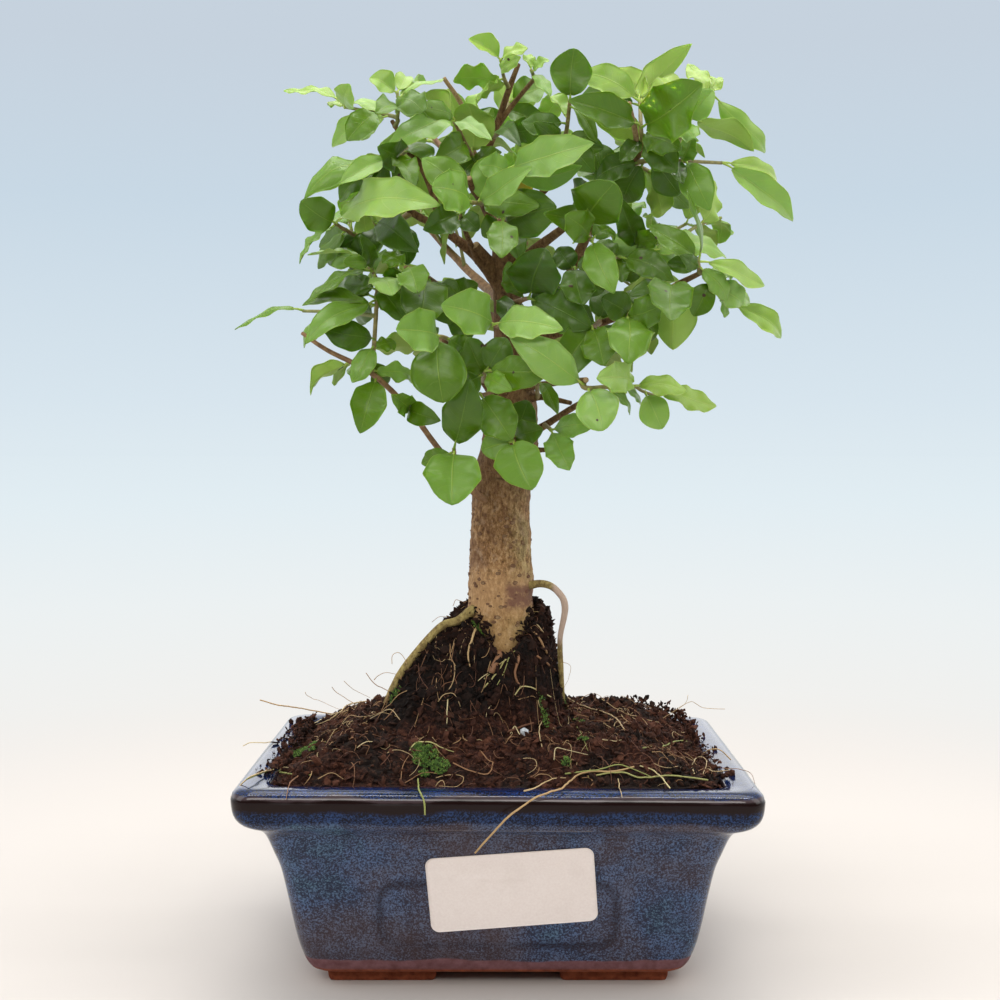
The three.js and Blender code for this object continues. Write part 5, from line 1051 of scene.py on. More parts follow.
# Brown spots that are seen on leaves, as picture places and radius in mm
BROWN_SPOTS = [
    (395, 224, 0.5), (393, 235, 0.4), (412, 246, 1.3), (418, 294, 0.5), (420, 280, 0.4), (640, 258, 0.6),
    (661, 265, 0.5), (655, 237, 0.6), (668, 292, 0.5), (672, 315, 0.5), (704, 294, 0.6), (597, 421, 0.5),
    (483, 345, 0.7), (512, 373, 0.5),
]
BLADE_END = 0.975
BLADE_ROWS = np.linspace(STALK_SHARE + 0.012, BLADE_END, 15)
BLADE_ACROSS = np.array([-1, -0.82, -0.5, -0.2, 0, 0.2, 0.5, 0.82, 1])
BLADE_THICK = 0.34
STALK_RADII = (0.5, 0.38, 0.24)


def blade_shape(u):
    """Half the width of a modelled blade at shares of its length, against its widest."""
    v = np.clip((u - STALK_SHARE) / (1 - STALK_SHARE), 0, 1)
    return np.maximum(0, np.sin(np.pi * v ** 0.85)) ** 0.72


def margins(ids, places):
    """Where four corners go round a modelled blade: its two margins, and the way that its thickness runs."""
    a, *rest = ids
    for b in rest:
        c, d = [i for i in rest if i != b]
        gaps = [np.linalg.norm(places[p] - places[q]) for p, q in ((a, b), (c, d))]
        if all(abs(gap - LEAF_THICK) < 0.02 for gap in gaps):
            through = (places[a] - places[b]) / LEAF_THICK
            return (places[a] + places[b]) / 2, (places[c] + places[d]) / 2, through
    return None


def read_leaves(cad, twig_points):
    """Stalk end, tip, width, face and turn of each leaf on a modelled spray."""
    count = len(cad.data.vertices)
    flat = np.empty(count * 3, np.float32)
    cad.data.vertices.foreach_get("co", flat)
    places, where = np.unique(flat.reshape(-1, 3), axis=0, return_inverse=True)
    places = places.astype(float) * 1000
    where = where.reshape(-1)
    cad.data.calc_loop_triangles()
    near = [set() for _ in places]
    for triangle in cad.data.loop_triangles:
        a, b, c = (int(where[i]) for i in triangle.vertices)
        near[a] |= {b, c}
        near[b] |= {a, c}
        near[c] |= {a, b}
    leaves = []
    for tip, ring in enumerate(near):
        found = margins(sorted(ring), places) if len(ring) == 4 else None
        if found is None or np.linalg.norm(found[0] - found[1]) < 1.2:
            continue
        rings = [found]
        seen = ring | {tip}
        while len(rings) < 3:
            onward = set().union(*(near[i] for i in ring)) - seen
            found = margins(sorted(onward), places) if len(onward) == 4 else None
            if found is None:
                break
            rings.append(found)
            seen |= onward
            ring = onward
            widths = [np.linalg.norm(r[0] - r[1]) for r in rings]
            if len(rings) == 2 and widths[0] / widths[1] > 0.8:
                break
        leaves.append(leaf_from(places[tip], rings, twig_points))
    return leaves


def leaf_from(tip, rings, twig_points):
    """One leaf out of its modelled tip and the one to three rings of corners behind it."""
    middles = [(r[0] + r[1]) / 2 for r in rings]
    widths = [np.linalg.norm(r[0] - r[1]) for r in rings]
    if len(rings) == 1:
        at = NARROW_AT if widths[0] / blade_shape(0.7) < 13.4 else BROAD_AT
        rise = 4 * at[0] * (1 - at[0]) * 0.1
        length = np.linalg.norm(tip - middles[0]) / math.hypot(1 - at[0], rise)
        guesses = []
        for face in (rings[0][2], -rings[0][2]):
            base = tip - ((tip - middles[0]) + face * rise * length) / (1 - at[0])
            guesses.append((np.linalg.norm(twig_points - base, axis=1).min(), base, face))
        _, base, face = min(guesses, key=lambda guess: guess[0])
    else:
        at = NARROW_AT if widths[0] / widths[1] > 0.8 else BROAD_AT
        rows = np.array([[-(1 - u), 4 * u * (1 - u)] for u in at[:len(rings)]])
        shifts = np.array([middle - tip for middle in middles])
        span, bulge = np.linalg.lstsq(rows, shifts, rcond=None)[0]
        base = tip - span
        face = bulge
    chord = (tip - base) / np.linalg.norm(tip - base)
    face = face - chord * face.dot(chord)
    face /= np.linalg.norm(face)
    side = np.cross(face, chord)
    turns = []
    for r in rings:
        across = (r[1] - r[0]) / np.linalg.norm(r[1] - r[0])
        across = across if across.dot(side) > 0 else -across
        turns.append(math.atan2(across.dot(face), across.dot(side)))
    twist = (turns[0] - turns[1]) / (at[0] - at[1]) if len(rings) > 1 else 0
    width = np.mean([w / blade_shape(u) for w, u in zip(widths, at)])
    return {"base": base, "tip": tip, "face": face, "side": side, "width": width,
            "twist": max(-0.5, min(0.5, twist))}


def repeatable(seed):
    """The same draws as the ones that set the rule-bound shoots on the modelled boughs."""
    state = seed

    def draw():
        nonlocal state
        state = (state + 0x6D2B79F5) & 0xFFFFFFFF
        mixed = ((state ^ state >> 15) * (state | 1)) & 0xFFFFFFFF
        mixed ^= (mixed + ((mixed ^ mixed >> 7) * (mixed | 61))) & 0xFFFFFFFF
        return (mixed ^ mixed >> 14) / 4294967296
    return draw


def shoot_stems(path, bough, cad_places):
    """The side shoots of a back bough: of each one's possible ways, the one that the modelled shoot took."""
    points = [place(x, y, depth) for x, y, depth, _ in path]
    stems = []
    for k in range(3):
        at = (0.5 + 0.25 * k) * (len(points) - 1)
        i = min(len(points) - 2, int(at))
        start = points[i] + (points[i + 1] - points[i]) * (at - i)
        outward = (start - CROWN_MIDDLE) / np.linalg.norm(start - CROWN_MIDDLE)
        ways = []
        for tries in range(SHOOT_TRIES):
            draw = repeatable(SHOOT_SEED + 1000 * bough + 100 * k + tries)
            scatter = np.array([draw() - 0.5, draw() - 0.5, draw() - 0.5]) * 2.1
            way = outward + scatter + (0, 0.25, 0.35)
            way /= np.linalg.norm(way)
            end = start + way * (14 + 10 * draw())
            gap = np.linalg.norm(cad_places - end, axis=1).min()
            ways.append((gap, tries, [start, (start + end) / 2 + (0, 0, 1.2), end]))
        gap, _, stem = min(ways)
        if gap < 1.2:
            stems.append((stem, (0.8, 0.7, 0.6)))
    return stems


def outline(u, fullness, lean):
    """Half the width of the real blade at a share of its length: round at the stalk, drawn out at the tip."""
    v = min(1, max(0, (u - STALK_SHARE) / (1 - STALK_SHARE)))
    return math.sin(math.pi * v ** lean) ** (0.74 - 0.2 * fullness) * (1 - 0.14 * ease((v - 0.8) / 0.2))


def leaf_skin(leaf, draw):
    """One thin blade, folded along the midrib, waved along its margins and bent at the tip, and its stalk."""
    base, tip, face0, side0 = (leaf[k] for k in ("base", "tip", "face", "side"))
    length = np.linalg.norm(tip - base)
    chord = (tip - base) / length
    fullness = min(1, max(0, (leaf["width"] / length - 0.42) / 0.3))
    width = leaf["width"] * 1.13
    young = max(0, 1 - leaf["age"] / 0.3)
    folds = [draw.uniform(-0.06, 0.3) + 0.18 * young for _ in range(2)]
    lean = draw.uniform(0.8, 1.04)
    cup = draw.uniform(-0.36, 0.24)
    recurve = draw.uniform(0.0, 0.95) ** 2
    bend = draw.uniform(-0.035, 0.055)
    sway = draw.uniform(-0.05, 0.05)
    wave_count = draw.uniform(1.5, 2.6) + 0.9 * (1 - fullness)
    phases = draw.uniform(0, math.tau), draw.uniform(0, math.tau)
    waves = draw.uniform(0.035, 0.14)
    tops = []
    for u in BLADE_ROWS:
        turn = leaf["twist"] * (u - 0.5)
        side = side0 * math.cos(turn) + face0 * math.sin(turn)
        face = face0 * math.cos(turn) - side0 * math.sin(turn)
        half = width / 2 * outline(u, fullness, lean)
        rise = 0.4 * u * (1 - u) + bend * math.sin(math.tau * u) - recurve * max(0, u - 0.58) ** 2
        middle = base + chord * u * length + face0 * rise * length
        middle = middle + side0 * sway * length * math.sin(math.pi * u)
        strength = waves * width * math.sin(math.pi * min(1, u * 1.05)) ** 0.5
        for v in BLADE_ACROSS:
            phase = phases[0] if v < 0 else phases[1]
            fold = folds[0] if v < 0 else folds[1]
            lift = half * (fold * abs(v) + cup * v * v)
            lift -= 0.16 * math.exp(-(v * half / 0.45) ** 2) * (half > 1)
            ripple = math.sin(math.tau * wave_count * u + phase)
            lift += strength * ripple * abs(v) ** 1.5
            reach = 1 + 0.4 * waves * math.sin(math.tau * wave_count * u + phase + 1.9)
            tops.append((middle + side * half * v * reach + face * lift, face, v))
    skins = [face * BLADE_THICK / 2 * (0.35 if abs(v) == 1 else 1) for _, face, v in tops]
    points = [p + skin for (p, _, _), skin in zip(tops, skins)]
    points += [p - skin for (p, _, _), skin in zip(tops, skins)]
    wide = len(BLADE_ACROSS)
    under = len(tops)
    points.append(tip - face0 * recurve * 0.42 ** 2 * length)
    end = 2 * under
    faces, uvs, unders = [], [], []

    def put(corners, spots, is_under):
        faces.append(corners)
        uvs.extend(spots)
        unders.append(is_under)

    for r in range(len(BLADE_ROWS) - 1):
        low, high = BLADE_ROWS[r], BLADE_ROWS[r + 1]
        for i in range(wide - 1):
            a, b, c, d = r * wide + i, r * wide + i + 1, (r + 1) * wide + i + 1, (r + 1) * wide + i
            left, right = BLADE_ACROSS[i] / 2 + 0.5, BLADE_ACROSS[i + 1] / 2 + 0.5
            spots = [(low, left), (low, right), (high, right), (high, left)]
            put((a, b, c, d), spots, 0)
            put((under + d, under + c, under + b, under + a), spots[::-1], 1)
        for i, flip in ((0, True), (wide - 1, False)):
            a, d = r * wide + i, (r + 1) * wide + i
            corners = (a, d, under + d, under + a) if not flip else (under + a, under + d, d, a)
            v = BLADE_ACROSS[i] / 2 + 0.5
            put(corners, [(low, v), (high, v), (high, v), (low, v)], 0)
    last = (len(BLADE_ROWS) - 1) * wide
    point = (1, 0.5)
    for i in range(wide - 1):
        left, right = (BLADE_END, BLADE_ACROSS[i] / 2 + 0.5), (BLADE_END, BLADE_ACROSS[i + 1] / 2 + 0.5)
        put((last + i, last + i + 1, end), [left, right, point], 0)
        put((under + last + i + 1, under + last + i, end), [right, left, point], 1)
    put((last, end, under + last), [(BLADE_END, 0), point, (BLADE_END, 0)], 0)
    put((last + wide - 1, under + last + wide - 1, end), [(BLADE_END, 1), (BLADE_END, 1), point], 0)
    first = list(range(wide)) + [under + i for i in range(wide)][::-1]
    put(tuple(first[::-1]), [(0.1, 0.5)] * len(first), 1)

    stalk_ends = [base - chord * 0.5, base + chord * 0.06 * length + face0 * (0.03 + 0.37 * bend) * length,
                  base + chord * 0.15 * length + face0 * ((0.051 + 0.81 * bend) * length - 0.12)]
    ring_start = len(points)
    for centre, radius in zip(stalk_ends, STALK_RADII):
        for a in np.arange(6) * math.tau / 6:
            points.append(centre + side0 * radius * math.cos(a) + face0 * radius * math.sin(a))
    for face in quads_between(3, 6) + [tuple(range(6))[::-1], tuple(range(12, 18))]:
        put(tuple(ring_start + i for i in face), [(0.05, 0.5)] * len(face), 1)
    return points, faces, uvs, unders


def spot_of(points, draw, age):
    """Place along and across a blade, and size, of its brown spot: a listed one, or a chance one."""
    wide = len(BLADE_ACROSS)
    seen_points = [picture_place(p) for p in points[:len(BLADE_ROWS) * wide]]
    for x, y, size in BROWN_SPOTS:
        gaps = [math.hypot(across - x, down - y) for across, down in seen_points]
        nearest = int(np.argmin(gaps))
        if gaps[nearest] < 3.2 and points[nearest][1] < POT_Y + 12:
            return BLADE_ROWS[nearest // wide], BLADE_ACROSS[nearest % wide] / 2 + 0.5, size
    if draw.random() < 0.1 * min(1, age * 1.4):
        return draw.uniform(0.3, 0.85), draw.uniform(0.15, 0.85), draw.uniform(0.3, 0.7)
    return 0, 0, 0


def leaves_piece(name, leaves, material):
    """All blades of one spray as one piece, with the places on each blade as a map and its age, partly painted
    shade and sheen, as values.
    """
    points, faces, uvs, ages, tones, unders, spots = [], [], [], [], [], [], []
    for leaf in leaves:
        draw = random.Random(int(leaf["tip"][0] * 91 + leaf["tip"][2] * 7) + 5)
        tone = draw.random()
        new_points, new_faces, new_uvs, new_unders = leaf_skin(leaf, draw)
        start = len(points)
        points += new_points
        faces += [tuple(start + i for i in face) for face in new_faces]
        uvs += new_uvs
        unders += new_unders
        ages += [leaf["age"]] * len(new_faces)
        tones += [tone] * len(new_faces)
        length = np.linalg.norm(leaf["tip"] - leaf["base"])
        at_length, at_width, size = spot_of(new_points, draw, leaf["age"])
        spots += [(at_length, at_width, size / length, length / leaf["width"])] * len(new_faces)
    made = mesh_piece(name, points, faces, material)
    mesh = made.data
    blade_map = mesh.uv_layers.new(name="blade")
    blade_map.data.foreach_set("uv", np.array(uvs, float).ravel())
    spot_values = zip(("spot_along", "spot_across", "spot_size", "slimness"), zip(*spots))
    for label, values in (("age", ages), ("tone", tones), ("under", unders), *spot_values):
        layer = mesh.attributes.new(label, "FLOAT", "FACE")
        layer.data.foreach_set("value", np.array(values, float))
    return made


leaf_stuff, leaf_tree, leaf_shader = principled("privet_leaf")
blade_uv = node(leaf_tree, "ShaderNodeUVMap", uv_map="blade").outputs["UV"]
blade_split = node(leaf_tree, "ShaderNodeSeparateXYZ", {"Vector": blade_uv}).outputs
along = blade_split["X"]
off_rib = times(leaf_tree, maths(leaf_tree, "SUBTRACT", blade_split["Y"], 0.5), 2.0)
off_rib = maths(leaf_tree, "ABSOLUTE", off_rib)
age, tone, under, spot_along, spot_across, spot_size, slimness = (
    node(leaf_tree, "ShaderNodeAttribute", attribute_name=k).outputs["Fac"]
    for k in ("age", "tone", "under", "spot_along", "spot_across", "spot_size", "slimness"))
on_leaf = node(leaf_tree, "ShaderNodeTexCoord").outputs["Object"]
# The age value sets the blade's green; its high values on leaves inside the crown are partly painted shade, and
# its values near 0.2 are partly a painted sheen.
leaf_age = sum_of(leaf_tree, age, times(leaf_tree, maths(leaf_tree, "SUBTRACT", tone, 0.5), 0.16))
mottle = grain(leaf_tree, on_leaf, 260, 3)
leaf_age = sum_of(leaf_tree, leaf_age, times(leaf_tree, maths(leaf_tree, "SUBTRACT", mottle, 0.5), 0.12))
leaf_age_scaled = times(leaf_tree, leaf_age, 0.8)
# The stop at 0.16, bluer than its neighbours, is a painted sheen: the whitish sky light on the pale front
# leaves.
blade_green_and_sheen = ramp(leaf_tree, leaf_age_scaled, [
    (0.0, (0.31, 0.45, 0.075)), (0.08, (0.27, 0.42, 0.06)), (0.16, (0.225, 0.385, 0.075)),
    (0.26, (0.165, 0.31, 0.035)), (0.42, (0.1, 0.205, 0.002)), (0.68, (0.058, 0.13, 0.001)),
    (0.82, (0.038, 0.09, 0.001)), (0.97, (0.4, 0.31, 0.02)),
])
rib = between(leaf_tree, off_rib, 0.01, 0.036, 0.75, 0.0)
curved_off = maths(leaf_tree, "POWER", off_rib, 1.5)
slanted = maths(leaf_tree, "SUBTRACT", times(leaf_tree, along, 8.5), times(leaf_tree, curved_off, 1.7))
vein_wave = maths(leaf_tree, "PINGPONG", slanted, 0.5)
veins = between(leaf_tree, vein_wave, 0.0, 0.05, 0.5, 0.0)
veins = times(leaf_tree, veins, between(leaf_tree, off_rib, 0.6, 0.95, 0.4, 0.0))
lines = maths(leaf_tree, "MAXIMUM", rib, veins)
pale_green = ramp(leaf_tree, leaf_age_scaled, [(0.0, (0.52, 0.62, 0.15)), (0.3, (0.38, 0.5, 0.07)),
                                               (0.7, (0.14, 0.25, 0.02))])
top_colour = blend_colour(leaf_tree, times(leaf_tree, lines, 0.55), blade_green_and_sheen, pale_green)
# A thin paler line along each margin is a painted highlight on the blade's edge.
painted_edge_highlight = between(leaf_tree, off_rib, 0.955, 1.0, 0.0, 0.5)
top_colour = blend_colour(leaf_tree, painted_edge_highlight, top_colour, pale_green)
# Undersides are paler, and the bright yellow-green they lean towards is also painted light shining through the
# blade.
underside_and_glow_colour = blend_colour(leaf_tree, 0.5, blade_green_and_sheen, (0.35, 0.47, 0.08))
underside_and_glow_colour = blend_colour(leaf_tree, times(leaf_tree, lines, 0.6), underside_and_glow_colour, pale_green)
leaf_colour = blend_colour(leaf_tree, under, top_colour, underside_and_glow_colour)
from_spot_along = maths(leaf_tree, "SUBTRACT", along, spot_along)
from_spot_across = maths(leaf_tree, "SUBTRACT", blade_split["Y"], spot_across)
from_spot_across = maths(leaf_tree, "DIVIDE", from_spot_across, slimness)
from_spot = sum_of(leaf_tree, maths(leaf_tree, "POWER", from_spot_along, 2.0),
                   maths(leaf_tree, "POWER", from_spot_across, 2.0))
from_spot = maths(leaf_tree, "SQRT", from_spot)
ragged = times(leaf_tree, grain(leaf_tree, on_leaf, 1500, 2), 0.03)
inside_spot = maths(leaf_tree, "SUBTRACT", sum_of(leaf_tree, spot_size, ragged), from_spot)
blotches = times(leaf_tree, between(leaf_tree, inside_spot, 0.015, 0.03),
                  between(leaf_tree, spot_size, 0.001, 0.002))
leaf_colour = blend_colour(leaf_tree, blotches, leaf_colour, (0.045, 0.018, 0.01))
leaf_bump = sum_of(leaf_tree, times(leaf_tree, lines, -0.8), times(leaf_tree, mottle, 0.5))
feed(leaf_tree, leaf_shader, Base_Color=leaf_colour, Roughness=between(leaf_tree, under, 0, 1, 0.36, 0.58),
     bump=leaf_bump, bump_distance=0.0003, bump_strength=0.6)
leaf_shader.inputs["Subsurface Weight"].default_value = 0.35
leaf_shader.inputs["Subsurface Radius"].default_value = (0.6, 1.0, 0.12)
leaf_shader.inputs["Subsurface Scale"].default_value = 0.0009
leaf_shader.inputs["Specular IOR Level"].default_value = 0.42

twig_stuff, twig_tree, twig_shader = principled("twig_bark")
on_twig = node(twig_tree, "ShaderNodeTexCoord").outputs["Object"]
twig_grain = grain(twig_tree, on_twig, 520, 3)
twig_brown = ramp(twig_tree, twig_grain, [(0.3, (0.13, 0.06, 0.025)), (0.6, (0.27, 0.15, 0.065)),
                                          (0.8, (0.42, 0.28, 0.14))])
twig_green = ramp(twig_tree, twig_grain, [(0.3, (0.14, 0.2, 0.045)), (0.7, (0.27, 0.34, 0.09))])
twig_shade = node(twig_tree, "ShaderNodeAttribute", attribute_name="shade").outputs["Fac"]
feed(twig_tree, twig_shader, Base_Color=blend_colour(twig_tree, twig_shade, twig_brown, twig_green),
     bump=twig_grain, bump_distance=0.0003, bump_strength=0.5)
twig_shader.inputs["Roughness"].default_value = 0.62

for index, spray_name in enumerate([*SPRAYS, *BOUGHS]):
    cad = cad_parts["spray_" + spray_name]
    cad_places = np.array([tuple(v.co) for v in cad.data.vertices]) * 1000
    if spray_name in SPRAYS:
        stems = [([place(x, y, depth) for x, y, depth, _ in stem], [radius for *_, radius in stem])
                 for stem in SPRAYS[spray_name]["stems"]]
        tips = SPRAYS[spray_name]["tips"]
    else:
        path = BOUGHS[spray_name]
        stems = [([place(x, y, depth) for x, y, depth, _ in path], [radius for *_, radius in path])]
        stems += shoot_stems(path, list(BOUGHS).index(spray_name), cad_places)
        tips = []
    twigs = Heap()
    twig_points = []
    for k, (centres, radii) in enumerate(stems):
        steps = curve_through([(*c, r) for c, r in zip(centres, radii)], 1.2)
        twig_points += list(steps[:, :3])
        points, faces = tube_skin(steps[:, :3], steps[:, 3] * 0.82, TWIG_SIDES, 1.2, collar=0.3,
                                  seed=index + 0.37 * k)
        slender = float(np.clip((1.0 - steps[:, 3].mean()) / 0.35, 0, 1))
        twigs.add(points, faces, 0.75 * slender)
    leaves = read_leaves(cad, np.array(twig_points))
    for leaf in leaves:
        across, down = picture_place(leaf["tip"])
        if tips:
            leaf["age"] = min((math.hypot(across - x, down - y), value) for x, y, value in tips)[1]
        else:
            draw = random.Random(int(across * 13 + down))
            leaf["age"] = min(1, max(0.15, 0.85 - 0.012 * (leaf["tip"][2] - 215) + draw.uniform(-0.3, 0.2)))
    twig_piece = twigs.piece("twigs_" + spray_name, twig_stuff)
    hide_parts("spray_" + spray_name)
    blades = leaves_piece("leaves_" + spray_name, leaves, leaf_stuff)
    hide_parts("spray_" + spray_name)

# What lies on the soil: dry feeder roots, straw, moss, a bit of bark and a small white stone. Each strand has
# a tone (0 red-brown, 0.35 tan, 0.7 cream, 1 yellow-green), a radius and places. A third number in a place is
# its depth clear of the soil, and None takes the depth of the next place. Fine hairs are strewn by chance.
STRANDS = [
    (0.35, 0.35, [(260, 700, None), (278, 705, None), (298, 708, None), (318, 711)]),
    (0.5, 0.4, [(231, 797, 52), (245, 781, 50), (256, 774, 50), (270, 773), (287, 771), (309, 774)]),
    (0.95, 0.4, [(247, 779, 51), (262, 773), (281, 775), (311, 776)]),
    (0.1, 0.32, [(298, 777), (289, 786, 57), (286, 800, 61)]),
    (0.45, 0.35, [(292, 720), (309, 715), (329, 708), (343, 704), (356, 698)]),
    (0.6, 0.28, [(297, 721), (301, 714), (318, 713), (336, 707)]),
    (0.35, 0.25, [(321, 721), (335, 716), (344, 713)]),
    (0.3, 0.16, [(305, 692, None), (310, 697, None), (316, 704)]),
    (0.3, 0.18, [(332, 687, None), (337, 693, None), (343, 701)]),
    (0.3, 0.18, [(344, 681, None), (353, 689, None), (365, 697)]),
    (0.2, 0.2, [(366, 673, None), (374, 684, None), (383, 690)]),
    (0.3, 0.2, [(374, 680, None), (378, 676, None), (386, 673, None), (399, 675)]),
    (0.4, 0.17, [(392, 664, None), (392, 655, None), (399, 653, None), (404, 658, None), (405, 669)]),
    (0.25, 0.15, [(432, 622, None), (440, 617, None), (452, 618)]),
    (0.25, 0.15, [(453, 606, None), (456, 600, None), (464, 602)]),
    (0.7, 0.36, [(448, 697), (447, 712), (446, 738)]),
    (0.05, 0.18, [(441, 689), (447, 685), (454, 682)]),
    (0.4, 0.2, [(340, 728), (349, 719), (366, 719), (382, 715), (398, 718)]),
    (0.5, 0.2, [(366, 723), (377, 718), (391, 713), (400, 721)]),
    (0.85, 0.42, [(410, 752), (414, 747), (420, 744), (433, 746), (444, 751), (454, 753)]),
    (0.6, 0.2, [(357, 749), (364, 745), (375, 743)]),
    (0.1, 0.2, [(360, 746), (368, 749), (366, 756)]),
    (0.2, 0.28, [(478, 749), (489, 763), (494, 767), (487, 776), (470, 774), (453, 764)]),
    (0.05, 0.2, [(349, 771), (355, 767), (361, 763)]),
    (0.15, 0.2, [(405, 784), (422, 777), (439, 775)]),
    (0.4, 0.2, [(436, 779), (447, 777), (464, 780), (458, 786, 54), (439, 786, 54)]),
    (1.0, 0.4, [(418, 780), (419, 790, 60), (424, 802, 62), (425, 815, 62)]),
    (0.7, 0.34, [(499, 667), (489, 674), (478, 682)]),
    (0.85, 0.36, [(506, 659), (500, 673), (493, 679), (484, 689)]),
    (0.9, 0.45, [(520, 648), (511, 659), (506, 670), (495, 690)]),
    (0.8, 0.3, [(515, 652), (505, 664), (484, 680)]),
    (0.6, 0.24, [(491, 707), (488, 713), (486, 719)]),
    (0.25, 0.2, [(450, 645), (450, 659), (457, 669)]),
    (0.15, 0.55, [(537, 657), (548, 667), (561, 680), (574, 690)]),
    (0.8, 0.34, [(515, 696), (522, 690), (534, 691), (551, 698)]),
    (0.3, 0.24, [(517, 701), (531, 698), (538, 701)]),
    (0.5, 0.26, [(538, 701), (540, 709), (545, 713), (541, 724), (540, 737), (542, 748)]),
    (0.0, 0.75, [(503, 735), (520, 730), (541, 722)]),
    (0.7, 0.24, [(510, 735), (515, 731), (520, 736)]),
    (0.6, 0.28, [(554, 761), (556, 752), (565, 752), (597, 758)]),
    (0.45, 0.32, [(571, 693), (582, 708), (602, 715), (616, 721), (624, 730)]),
    (0.4, 0.2, [(613, 693), (624, 715), (641, 721), (650, 730)]),
    (0.95, 0.36, [(643, 749), (664, 747), (681, 743), (699, 742)]),
    (0.45, 0.42, [(524, 791, 58), (536, 788, 58), (553, 782), (566, 779)]),
    (0.36, 0.45, [(475, 853, 58), (490, 836, 61), (508, 818, 64), (534, 799, 63), (560, 788, 59), (577, 780),
                  (593, 774), (613, 774), (634, 768)]),
    (1.0, 0.4, [(565, 775), (591, 774), (619, 769), (641, 775), (653, 779)]),
    (0.9, 0.4, [(588, 778), (619, 775), (641, 780), (675, 778), (708, 780, 50)]),
    (0.5, 0.26, [(618, 780), (620, 788, 57), (622, 797, 61)]),
    (0.75, 0.34, [(640, 767), (655, 774), (670, 788, 57)]),
    (0.5, 0.3, [(695, 777), (692, 766), (698, 760), (706, 765), (703, 775)]),
    (0.4, 0.28, [(701, 757), (709, 750, 30), (720, 750, 30), (731, 760, 30)]),
    (0.1, 0.2, [(722, 768, 42), (737, 769, 44), (750, 773, 44), (755, 784, 45)]),
    (0.45, 0.22, [(706, 770), (716, 772, 42), (729, 770, 42)]),
    (0.5, 0.15, [(688, 695, None), (685, 704, None), (683, 714)]),
    (0.4, 0.15, [(725, 709, None), (704, 708, None), (690, 703, None), (684, 713)]),
    (1.0, 0.22, [(576, 725), (582, 738), (588, 752)]),
    (0.5, 0.22, [(531, 622), (540, 631), (549, 639)]),
    (0.4, 0.16, [(559, 661, None), (571, 667, None), (571, 686)]),
    (0.35, 0.2, [(467, 634), (457, 640), (452, 652), (449, 664)]),
    (0.3, 0.2, [(652, 753), (662, 757), (673, 765)]),
    (0.1, 1.9, [(505, 638, 8), (502, 650, 9), (498, 660), (491, 674)]),
    (0.4, 0.7, [(478, 625), (472, 640), (468, 655), (470, 668)]),
    (0.25, 0.6, [(530, 628), (540, 645), (552, 662)]),
    (0.1, 0.9, [(512, 642), (518, 660), (515, 676), (521, 690)]),
    (0.55, 0.2, [(600, 740), (612, 745), (622, 741)]),
    (0.35, 0.22, [(318, 780), (333, 777), (345, 781)]),
    (0.6, 0.25, [(243, 746, None), (255, 742, None), (272, 747)]),
]
FINE_HAIRS = 620
MOSS_TUFTS = [
    (425, 757, 4.2, 190), (440, 768, 3.0, 120), (418, 750, 2.4, 70), (284, 756, 4.4, 360),
    (303, 753, 4.4, 300), (317, 748, 2.6, 120), (544, 717, 1.8, 60), (580, 722, 2.2, 60),
    (566, 765, 1.5, 40), (583, 740, 1.6, 40), (424, 776, 1.6, 40), (571, 686, 1.5, 40),
    (480, 628, 2.6, 90), (487, 624, 2.2, 70), (395, 696, 1.8, 40),
]
SEEN_LONG = 67
SEEN_WIDE = 49
STONE_PLACE = (524, 735)


def on_soil(across, down):
    """The place on the soil that is seen at a picture point."""
    for depth in np.arange(64, -60, -0.6):
        spot = place(across, down, depth)
        x, y = spot[0] - POT_X, spot[1] - POT_Y
        if abs(x) < SEEN_LONG and abs(y) < SEEN_WIDE and spot[2] < soil_height(x, y) + 0.5:
            return spot
    return on_soil(across + 0.04 * (500 - across), down + (2 if down < 745 else -2))


litter_draw = random.Random(19)
noise.seed_set(19)
strands = Heap()
for index, (tone, radius, places) in enumerate(STRANDS):
    count = len(places)
    points = []
    for i, spot in list(enumerate(places))[::-1]:
        lift = 0.35 + litter_draw.uniform(0.3, 1.1) * math.sin(math.pi * i / (count - 1))
        if len(spot) == 2:
            lies = on_soil(*spot) + (0, 0, lift)
        else:
            depth = POT_Y - points[-1][1] if spot[2] is None else spot[2]
            lies = place(*spot[:2], depth)
        points.append((*lies, 0.62 * radius * (1 - 0.5 * i / (count - 1) if index % 2 else 1)))
    steps = curve_through(points, 0.7)
    for i in range(len(steps)):
        sway = noise.noise_vector((i * 0.11, index * 3.1, 0))
        sway += 0.4 * noise.noise_vector((i * 0.4, index * 3.1, 5))
        steps[i, :3] += 0.5 * np.array(sway) * math.sin(math.pi * i / (len(steps) - 1))
    skin, faces = tube_skin(steps[:, :3], steps[:, 3], 6, 1.6, seed=index * 1.7)
    strands.add(skin, faces, tone)
